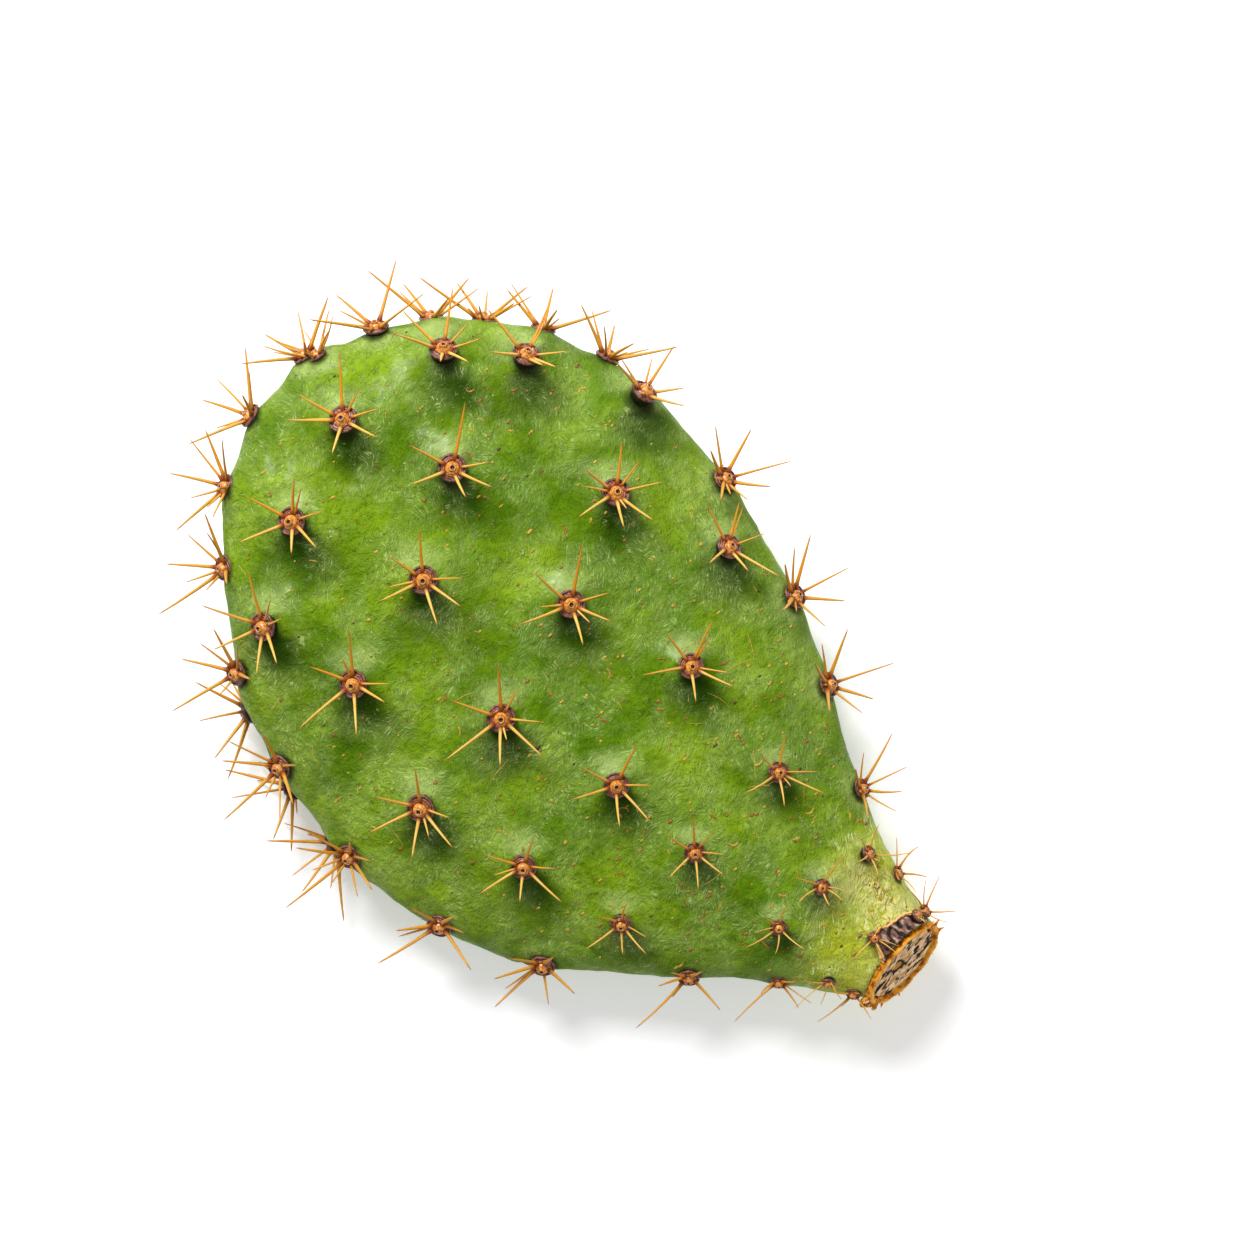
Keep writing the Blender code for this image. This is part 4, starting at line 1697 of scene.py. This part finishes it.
@dataclass
class Callus:
    """The corky scab on the cut: a cracked, pitted face inside a raised lip, with a fringe of nubs."""

    form: PadForm
    sides: int = 120
    lip: float = 1.75
    dish: float = 1.05
    radius: float = 10.0
    lip_foot: Span = (0.872, 0.90)
    lip_aside: tuple[Lumps, ...] = (Lumps(1.0, 2.6, 8.0), Lumps(0.5, 1.0, 9.0))
    lip_ragged: float = 0.5
    lip_upward: tuple[Lumps, ...] = (Lumps(0.4, 2.2, 10.0), Lumps(0.25, 0.9, 15.0))
    grain: Lumps = Lumps(1.0, 1.1, 11.0)
    grain_height: float = 0.35
    grain_drawn: tuple[float, float, float] = (0.35, 1.0, 1.0)
    rot_centre: Span = (-1.4, 1.2)
    rot_edge: Lumps = Lumps(1.3, 2.0, 12.0)
    rot_radius: float = 1.7
    rot_depth: float = 0.8
    groove_share: float = 0.845
    groove_width: float = 0.035
    groove_patch: Lumps = Lumps(1.0, 3.0, 14.0)
    nubs: int = 22
    nub_sides: int = 8
    nub_play: float = 0.35
    nub_way: Span = (-0.3, 0.5)
    nub_level: Span = (0.35, 0.7)
    nub_size: Span = (0.6, 1.1)
    nub_small_above: float = 0.3
    nub_small: float = 0.6
    nub_profile: Profile = ((0.42, -0.4), (0.38, 0.3), (0.26, 0.8), (0.14, 1.5), (0, 1.6))
    loops: tuple[Loop, ...] = (
        Loop(0.3, -1.6, 0.5, 0.5, 1.0),
        Loop(-0.5, 1.4, -0.4, -0.6, 1.25),
        Loop(1.5, 4.4, -0.2, 0.9, 0.8),
    )
    seed: int = 41

    def half_sizes(self) -> Span:
        """Return half the cut's width and half its height."""
        half_width, _, thick, _ = (float(v) for v in self.form.section(self.form.cut_y))
        return half_width, thick / math.cos(self.form.cut_lean)

    def profile(self) -> list[tuple[float, float]]:
        """Lay out the scab's profile: up the lip's outside, down into the groove and over the face.

        Returns:
            Radius and height of each ring.
        """
        lip, dish = self.lip, self.dish
        rise = [(0.84, -0.1), (0.97, 0.0), (0.985, 0.3), (0.995, 0.35 * lip), (1.0, 0.6 * lip)]
        rise += [(0.995, 0.85 * lip), (0.98, 0.98 * lip), (0.955, lip), (0.925, 0.93 * lip)]
        fall = [(0.90, 0.8 * lip), (0.885, dish - 0.5), (0.865, dish - 0.5), (0.84, dish - 0.2)]
        rings = (0.81, 0.77, 0.71, 0.64, 0.56, 0.48, 0.4, 0.32, 0.24, 0.16, 0.08, 0)
        face = [(share, dish) for share in rings]
        return [(share * self.radius, height) for share, height in rise + fall + face]

    def stand(self, local: Array) -> Array:
        """Stand points over the cut.

        Args:
            local: x across the cut, y up its face and z out of it.

        Returns:
            The points in the pad's space.
        """
        front = self.form.skin(self.form.cut_y, math.pi / 2)
        middle = (front + self.form.skin(self.form.cut_y, -math.pi / 2)) / 2
        middle[0] = self.form.section(self.form.cut_y)[1]
        turn = np.array(Matrix.Rotation(math.pi / 2 - self.form.cut_lean, 3, "X"))
        return middle + local @ turn.T

    def add_cork(
        self, gathering: Gathering, local: Array, faces: Faces, wall: float, crown: float = 0.0
    ) -> None:
        """Add a bit of the lip's cork.

        Args:
            gathering: takes it.
            local: its corners over the cut.
            faces: its faces.
            wall: how far it is dark as the lip's outside.
            crown: how far it is pale as the lip's top.
        """
        plain = {"lip": 1.0, "split": 0.0, "across": 0.0, "up": 0.0}
        # The lip's top is paler: a painted highlight.
        gathering.add(self.stand(local), faces, **plain, wall=wall, crown=crown)

    def add_scab(self, gathering: Gathering) -> None:
        """Add the face and its lip.

        Args:
            gathering: takes them.
        """
        half_width, half_height = self.half_sizes()
        pattern = turned(self.profile(), self.sides)
        shape = pattern.corners.copy()
        share = np.linalg.norm(shape[:, :2], axis=1) / self.radius
        shape[:, 0] *= half_width / self.radius
        shape[:, 1] *= half_height / self.radius
        on_lip = smooth(*self.lip_foot, share)
        face = 1 - on_lip
        out = unit(np.concatenate((shape[:, :2], np.zeros((len(shape), 1))), axis=1))
        shape += out * (self.lip_ragged * uneven(shape, self.lip_aside) * on_lip)[:, None]
        shape[:, 2] += on_lip * uneven(shape, self.lip_upward)
        shape[:, 2] += self.grain_height * face * self.grain.at(shape * np.array(self.grain_drawn))
        decay = np.hypot(shape[:, 0] - self.rot_centre[0], 0.8 * (shape[:, 1] - self.rot_centre[1]))
        split = bell(decay + self.rot_edge.at(shape), self.rot_radius) * face
        shape[:, 2] -= self.rot_depth * split
        parted = 0.5 + 0.5 * smooth(-0.1, 0.1, self.groove_patch.at(shape))
        # Painted shadow: the groove inside the lower lip is marked dark.
        groove = bell(share - self.groove_share, self.groove_width) * smooth(2, -2, shape[:, 1]) * parted
        wall = smooth(0.93, 0.975, share) * smooth(0.8 * self.lip, 0.5 * self.lip, shape[:, 2])
        # Painted highlight: the lip's top is marked paler.
        crown = on_lip * smooth(0.85 * self.lip, 1.05 * self.lip, shape[:, 2])
        marks = {"lip": on_lip, "split": np.maximum(split, 0.5 * groove), "wall": wall, "crown": crown}
        gathering.add(self.stand(shape), pattern.faces, across=shape[:, 0], up=shape[:, 1], **marks)

    def add_nubs(self, gathering: Gathering) -> None:
        """Add the fringe of nubs round the lip.

        Args:
            gathering: takes them.
        """
        half_width, half_height = self.half_sizes()
        rng = random.Random(self.seed)
        nub = turned(self.nub_profile, self.nub_sides)
        for i in range(self.nubs):
            angle = 2 * math.pi * (i + rng.uniform(-self.nub_play, self.nub_play)) / self.nubs
            towards = unit(np.array((math.cos(angle), math.sin(angle), rng.uniform(*self.nub_way))))
            root = np.array((half_width * math.cos(angle), half_height * math.sin(angle), 0))
            root[2] = rng.uniform(*self.nub_level) * self.lip
            first = unit(np.cross(towards, (0.0, 0.2, 1.0)))
            second = np.cross(towards, first)
            share = 1.0 if math.sin(angle) < self.nub_small_above else self.nub_small
            c = nub.corners * rng.uniform(*self.nub_size) * share
            placed = root + c[:, :1] * first + c[:, 1:2] * second + c[:, 2:] * towards
            self.add_cork(gathering, placed, nub.faces, wall=0.2)

    def ragged_loop(self) -> Pattern:
        """Model a small ragged loop of torn cork.

        Returns:
            The loop, about one millimetre in radius.
        """
        bpy.ops.object.select_all(action="DESELECT")
        bpy.ops.mesh.primitive_torus_add(
            major_segments=28, minor_segments=8, major_radius=1.0, minor_radius=0.34
        )
        made = bpy.context.active_object
        bpy.ops.object.mode_set(mode="EDIT")
        bpy.ops.mesh.select_all(action="SELECT")
        bpy.ops.transform.resize(value=(1.15, 0.85, 1.5), center_override=(0, 0, 0))
        bpy.ops.object.mode_set(mode="OBJECT")
        smooth_loop = Pattern.taken_from(made)
        ragged = 1 + 0.3 * Lumps(1.0, 0.7, 51.0).at(smooth_loop.corners)
        return Pattern(smooth_loop.corners * ragged[:, None], smooth_loop.faces)

    def add_loops(self, gathering: Gathering) -> None:
        """Add the ragged loops at the cut's left end.

        Args:
            gathering: takes them.
        """
        half_width, _ = self.half_sizes()
        pattern = self.ragged_loop()
        for loop in self.loops:
            turn = np.array(Matrix.Rotation(loop.tilt, 3, "X") @ Matrix.Rotation(0.7 * loop.tilt, 3, "Y"))
            middle = (loop.x - half_width, loop.y, loop.z + 0.5 * self.lip)
            placed = pattern.corners @ turn.T * loop.size + middle
            # The loops take some of the lip's painted highlight.
            self.add_cork(gathering, placed, pattern.faces, wall=0.3, crown=0.3)

    def build(self, material: bpy.types.Material) -> bpy.types.Object:
        """Build the scab, its nubs and its loops.

        Args:
            material: their finish.

        Returns:
            One piece.
        """
        gathering = Gathering()
        self.add_scab(gathering)
        self.add_nubs(gathering)
        self.add_loops(gathering)
        return gathering.make("callus_scab", material)


# ---------------------------------------------------------------------------------------------------------
# Dry marks on the skin


def trail(points: Array, out: Array, width: float, height: float) -> tuple[Array, Faces]:
    """Draw a low rounded thread along points, tapered to both ends.

    Args:
        points: the places it follows.
        out: the way the skin faces at each.
        width: half its width at the middle.
        height: how far it stands up there.

    Returns:
        The thread's corners and faces.
    """
    ahead = unit(np.gradient(points, axis=0))
    aside = unit(np.cross(out, ahead))
    share = np.linspace(0, 1, len(points))
    full = np.sqrt(np.clip(np.sin(math.pi * (0.04 + 0.92 * share)), 0, 1))
    outline = ((-1, -0.4), (-0.7, 0.7), (0, 1), (0.7, 0.7), (1, -0.4))
    rings = []
    for a, b in outline:
        rings.append(points + aside * (a * width * full)[:, None] + out * (b * height * full)[:, None])
    corners = np.stack(rings, axis=1).reshape(-1, 3)
    sides = len(outline)
    faces = [tuple(range(sides))[::-1]]
    for i in range(len(points) - 1):
        for k in range(sides):
            after = (k + 1) % sides
            faces.append((i * sides + k, (i + 1) * sides + k, (i + 1) * sides + after, i * sides + after))
    faces.append(tuple(range((len(points) - 1) * sides, len(points) * sides)))
    return corners, faces


@dataclass(frozen=True)
class Thread:
    """What one kind of thread on the skin is like: its sizes, how it curls and its points."""

    length: Span
    width: Span
    height: Span
    curl: float
    count: int


@dataclass
class SkinMarks:
    """Small dry marks on the front: corky specks, curled scabs and fine hairs."""

    flesh: Flesh
    seed: int = 29
    specks: int = 400
    curls: int = 80
    hairs: int = 32
    speck_size: Span = (0.15, 0.36)
    speck_stretch: Span = (1.0, 2.4)
    big_share: float = 0.1
    big_size: float = 1.4
    speck_bias: float = 0.55
    curl_bias: float = 0.72
    hair_bias: float = 0.3
    clear: float = 4.5
    from_cut: Span = (8, 194)
    inset: float = 0.94
    widest: float = 66.0
    thinning: Span = (40, 110)
    curl: Thread = Thread((1.2, 3.4), (0.16, 0.38), (0.10, 0.22), 3.4, 9)
    hair: Thread = Thread((3, 9), (0.055, 0.055), (0.07, 0.07), 0.8, 16)

    def spot(self, rng: random.Random, low_bias: float) -> Span:
        """Pick a random place on the front, clear of the areoles.

        Args:
            rng: draws it.
            low_bias: how much likelier places near the neck are.

        Returns:
            Its x and y.
        """
        while True:
            y = rng.uniform(*self.from_cut)
            half_width, offset, _, _ = (float(v) for v in self.flesh.form.section(y))
            x = offset + rng.uniform(-self.inset, self.inset) * half_width
            kept = rng.random() * self.widest < half_width
            nearest = min(np.hypot(*(a.place[:2] - (x, y))) / a.size for a in self.flesh.areoles)
            thinned = low_bias * smooth(*self.thinning, y - 0.5 * x)
            if nearest > self.clear and kept and rng.random() > thinned:
                return x, y

    def bead(self) -> Pattern:
        """Model a low rough bead.

        Returns:
            The bead, one unit in radius and flat below.
        """
        bpy.ops.object.select_all(action="DESELECT")
        bpy.ops.mesh.primitive_ico_sphere_add(subdivisions=2, radius=1)
        made = bpy.context.active_object
        bpy.ops.object.mode_set(mode="EDIT")
        bpy.ops.mesh.select_all(action="SELECT")
        bpy.ops.mesh.bisect(plane_co=(0, 0, -0.3), plane_no=(0, 0, 1), use_fill=True, clear_inner=True)
        bpy.ops.mesh.select_all(action="SELECT")
        bpy.ops.transform.resize(value=(1, 1, 0.7), center_override=(0, 0, 0))
        bpy.ops.object.mode_set(mode="OBJECT")
        return Pattern.taken_from(made)

    def line(self, rng: random.Random, start: Span, length: float, kind: Thread) -> tuple[Array, Array]:
        """Lay a wandering line on the skin.

        Args:
            rng: draws its way.
            start: where it begins.
            length: how long it is.
            kind: how it curls, and in how many points.

        Returns:
            Its points and the way the skin faces at each.
        """
        heading = rng.uniform(0, 2 * math.pi)
        bend = rng.uniform(-kind.curl, kind.curl)
        x, y = [start[0]], [start[1]]
        for _ in range(kind.count - 1):
            heading += bend / kind.count + rng.uniform(-0.1, 0.1) * min(1.0, kind.curl)
            x.append(x[-1] + math.cos(heading) * length / kind.count)
            y.append(y[-1] + math.sin(heading) * length / kind.count)
        return self.flesh.over(np.array(x), np.array(y))

    def build_specks(self, rng: random.Random, material: bpy.types.Material) -> bpy.types.Object:
        """Scatter the specks.

        Args:
            rng: draws them.
            material: their finish.

        Returns:
            One piece.
        """
        bead = self.bead()
        gathering = Gathering()
        for _ in range(self.specks):
            x, y = self.spot(rng, self.speck_bias)
            place, out = (found[0] for found in self.flesh.over(np.array([x]), np.array([y])))
            first = unit(np.cross(out, (0.2, 0.9, 0.3)))
            second = np.cross(out, first)
            size = rng.uniform(*self.speck_size) * (self.big_size if rng.random() < self.big_share else 1.0)
            ragged = 1 + Lumps(0.25, 0.8, rng.uniform(0, 40)).at(bead.corners)
            shape = bead.corners * ragged[:, None] * size
            shape[:, 0] *= rng.uniform(*self.speck_stretch)
            placed = place + shape[:, :1] * first + shape[:, 1:2] * second + shape[:, 2:] * out
            # Painted shade on each speck's underside; the marks' finish doesn't read it.
            deep = smooth(0.1, -0.1, shape[:, 2]) * 0.5
            gathering.add(placed, bead.faces, tint=rng.random(), deep=deep)
        return gathering.make("corky_specks", material)

    def build_scabs(self, rng: random.Random, material: bpy.types.Material) -> bpy.types.Object:
        """Scatter the curled scabs.

        Args:
            rng: draws them.
            material: their finish.

        Returns:
            One piece.
        """
        gathering = Gathering()
        for _ in range(self.curls):
            start = self.spot(rng, self.curl_bias)
            points, out = self.line(rng, start, rng.uniform(*self.curl.length), self.curl)
            width, height = rng.uniform(*self.curl.width), rng.uniform(*self.curl.height)
            corners, faces = trail(points, out, width, height)
            gathering.add(corners, faces, tint=rng.uniform(0.3, 0.85), deep=0.0)
        return gathering.make("curled_scabs", material)

    def build_hairs(self, rng: random.Random, material: bpy.types.Material) -> bpy.types.Object:
        """Scatter the fine dry hairs.

        Args:
            rng: draws them.
            material: their finish.

        Returns:
            One piece.
        """
        gathering = Gathering()
        for _ in range(self.hairs):
            start = self.spot(rng, self.hair_bias)
            points, out = self.line(rng, start, rng.uniform(*self.hair.length), self.hair)
            corners, faces = trail(points, out, self.hair.width[0], self.hair.height[0])
            gathering.add(corners, faces, along=0.5, tone=rng.uniform(0.3, 1.0), under=0.0)
        return gathering.make("dry_hairs", material)


@dataclass
class TornBark:
    """The patch beside the cut where the skin has torn away: dry grey layers under a ragged cork edge."""

    flesh: Flesh
    left: float = -3.0
    right: float = 10.0
    reach: float = 5.8
    across: int = 96
    up: int = 44
    overlap: float = 0.05
    least: float = 0.15
    ragged: tuple[Lumps, ...] = (Lumps(0.9, 1.5, 41.0), Lumps(0.4, 0.6, 42.0))
    layers: tuple[Lumps, ...] = (Lumps(1.0, 0.9, 43.0), Lumps(0.5, 0.4, 44.0))
    ends: Span = (4.2, 1.2)
    slant: float = 0.24
    slant_from: float = 1.2
    base: float = 0.75
    layer_height: float = 0.4
    edge_height: float = 0.45
    edge_line: float = 0.93
    dip: float = 0.3
    foot: float = 0.4
    tuck: float = -0.35
    thickness: float = 0.5

    def front_edge(self, x: Array) -> Array:
        """Find the cut's front edge.

        Args:
            x: places across it.

        Returns:
            How far along the pad it lies at each.
        """
        form = self.flesh.form
        turns = np.linspace(0, math.pi, 200)
        rim = form.skin(np.full(200, form.cut_y), turns)
        order = np.argsort(rim[:, 0])
        return np.interp(x, rim[order, 0], rim[order, 1])

    def tall(self, x: Array) -> Array:
        """Measure how far up the pad the patch reaches.

        Args:
            x: places across it.

        Returns:
            Its height at each.
        """
        line = np.stack((x, x * 0, x * 0), axis=1)
        tall = self.reach - self.slant * (x - self.slant_from) + uneven(line, self.ragged)
        tall *= smooth(self.left, self.left + self.ends[0], x)
        tall *= 1 - smooth(self.right - self.ends[1], self.right + 0.3, x)
        return np.maximum(tall, self.least)

    def build(self, material: bpy.types.Material) -> bpy.types.Object:
        """Lay a thick sheet on the skin, ragged at its upper edge.

        Args:
            material: its finish.

        Returns:
            The piece.
        """
        bpy.ops.object.select_all(action="DESELECT")
        bpy.ops.mesh.primitive_grid_add(x_subdivisions=self.across, y_subdivisions=self.up, size=2)
        made = bpy.context.active_object
        made.name = made.data.name = "torn_bark"
        flat = corners_of(made)
        s, t = (flat[:, 0] + 1) / 2, (flat[:, 1] + 1) / 2
        x = self.left + (self.right - self.left) * s
        y = self.front_edge(x) + self.overlap + t * self.tall(x)
        points, out = self.flesh.over(x, y)
        layer = uneven(np.stack((x * 1.0, y * 0.35, t * 0), axis=1), self.layers)
        edge = np.clip(bell(t - self.edge_line, 0.06) + bell(s, 0.03) + bell(1 - s, 0.02), 0, 1)
        height = self.base + self.layer_height * layer + self.edge_height * edge
        height -= self.dip * smooth(0.1, 0.5, t) * (t < 0.9)
        height += self.foot * smooth(0.1, 0.0, t)
        height = np.where((t > 0.985) | (s < 0.01) | (s > 0.99), self.tuck, height)
        reshape(made, points + out * height[:, None])
        set_mark(made, "edge", edge)
        set_mark(made, "layer", layer)
        made.data.shade_smooth()
        made.data.materials.append(material)
        wall = made.modifiers.new("wall", "SOLIDIFY")
        wall.thickness, wall.offset = self.thickness * MM, -1.0
        bpy.ops.object.modifier_apply(modifier=wall.name)
        face_outwards()
        return made


# ---------------------------------------------------------------------------------------------------------
# The room


@dataclass(frozen=True)
class Lamp:
    """A soft round lamp: its name, its power and the way to it from the pad."""

    name: str
    power: float
    way: tuple[float, float, float]


@dataclass
class Studio:
    """A pale floor, one soft light from the top of the view, even fill and the camera above; in metres."""

    over: Span = (18.66, 100.59)  # the middle of the view, in the pad's own millimetres
    level: float = 0.017
    rise: float = 0.95
    wide: float = 0.2957
    turn: float = math.radians(-50)
    sensor: float = 36.0
    lamps: tuple[Lamp, ...] = (Lamp("key", 8.9, (0.43, 0.89, 1.0)), Lamp("bounce", 1.2, (0.15, -0.85, 0.5)))
    lamp_size: float = 0.35
    lamp_distance: float = 0.9
    fill: float = 0.36
    floor_size: float = 4.0
    floor_glow: float = 0.32
    floor_tones: tuple[Colour, Colour] = ((0.90, 0.90, 0.905), (0.915, 0.915, 0.915))

    def floor(self) -> bpy.types.Object:
        """Lay the floor.

        Returns:
            The floor.
        """
        bpy.ops.object.select_all(action="DESELECT")
        bpy.ops.mesh.primitive_plane_add(size=self.floor_size, location=(0, 0, 0))
        made = bpy.context.active_object
        made.name = "floor"
        card = Coating("pale floor", 0.9, specular=0.0)
        card.colour = card.lay.blend(card.lay.noise(card.lay.place(1.0), 0.4, 2.0), *self.floor_tones)
        card.set(**{"Emission Color": WHITE, "Emission Strength": self.floor_glow})
        made.data.materials.append(card.finish())
        return made

    def light(self) -> None:
        """Hang the key light and the bounce opposite it, and set the fill."""
        for lamp in self.lamps:
            made = bpy.data.lights.new(lamp.name, "AREA")
            made.energy, made.size, made.shape = lamp.power, self.lamp_size, "DISK"
            hung = bpy.data.objects.new(lamp.name, made)
            towards = Vector(lamp.way).normalized()
            hung.location = towards * self.lamp_distance
            hung.rotation_euler = towards.to_track_quat("Z", "Y").to_euler()
            bpy.context.scene.collection.objects.link(hung)
        world = bpy.data.worlds.new("fill")
        world.use_nodes = True
        world.node_tree.nodes["Background"].inputs["Color"].default_value = (1, 1, 1, 1)
        world.node_tree.nodes["Background"].inputs["Strength"].default_value = self.fill
        bpy.context.scene.world = world
        bpy.context.scene.view_settings.view_transform = "Standard"

    def camera(self) -> None:
        """Set the camera over the pad, looking straight down."""
        made = bpy.data.cameras.new("camera")
        made.sensor_width = self.sensor
        made.lens = self.sensor * (self.rise - self.level) / self.wide
        held = bpy.data.objects.new("camera", made)
        held.location = ((self.over[0] + LIE[0]) * MM, (self.over[1] + LIE[1]) * MM, self.rise)
        held.rotation_euler = (0, 0, self.turn)
        bpy.context.scene.collection.objects.link(held)
        bpy.context.scene.camera = held


def hand_over(piece: bpy.types.Object, slot: str, *nodes: str) -> None:
    """Give a piece its body, hide the CAD nodes that it stands for, and report it.

    Args:
        piece: the finished piece.
        slot: the name of a material slot; not used.
        nodes: the CAD nodes that it stands for.
    """
    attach(piece, "root")
    for node in nodes:
        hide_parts(node)
    piece.data.calc_loop_triangles()
    LOG.info("%s: %d triangles", piece.name, len(piece.data.loop_triangles))


def main() -> None:
    """Build every piece in order, then the room round it."""
    logging.basicConfig(level=logging.INFO, format="%(name)s: %(message)s")
    effects = Effects()
    form, plan = PadForm(), AreolePlan()
    areoles = plan.grow(form)
    flesh = Flesh(form, areoles)
    tops = plan.raise_all(areoles, flesh.peak)
    hand_over(flesh.build(SkinFinish().build(effects)), "skin", "pad")
    finishes = [finish.build(effects) for finish in (CUP_FELT, RING_BARK, DOME_BARK)]
    for piece in AreoleCushions(areoles, tops).build(finishes):
        hand_over(piece, "areole", "pad")
    horn = SpineFinish().build()
    hand_over(SpineFans(plan, areoles, tops).build(horn), "spine", "pad")
    hand_over(Callus(form).build(CallusFinish().build(effects)), "callus", "callus")
    hand_over(TornBark(flesh).build(TornFinish().build(effects)), "callus")
    marks, cork = SkinMarks(flesh), CorkFinish().build(effects)
    rng = random.Random(marks.seed)
    hand_over(marks.build_specks(rng, cork), "callus")
    hand_over(marks.build_scabs(rng, cork), "callus")
    hand_over(marks.build_hairs(rng, horn), "spine")
    studio = Studio()
    studio.floor()
    studio.light()
    studio.camera()


if __name__ == "__main__":
    main()
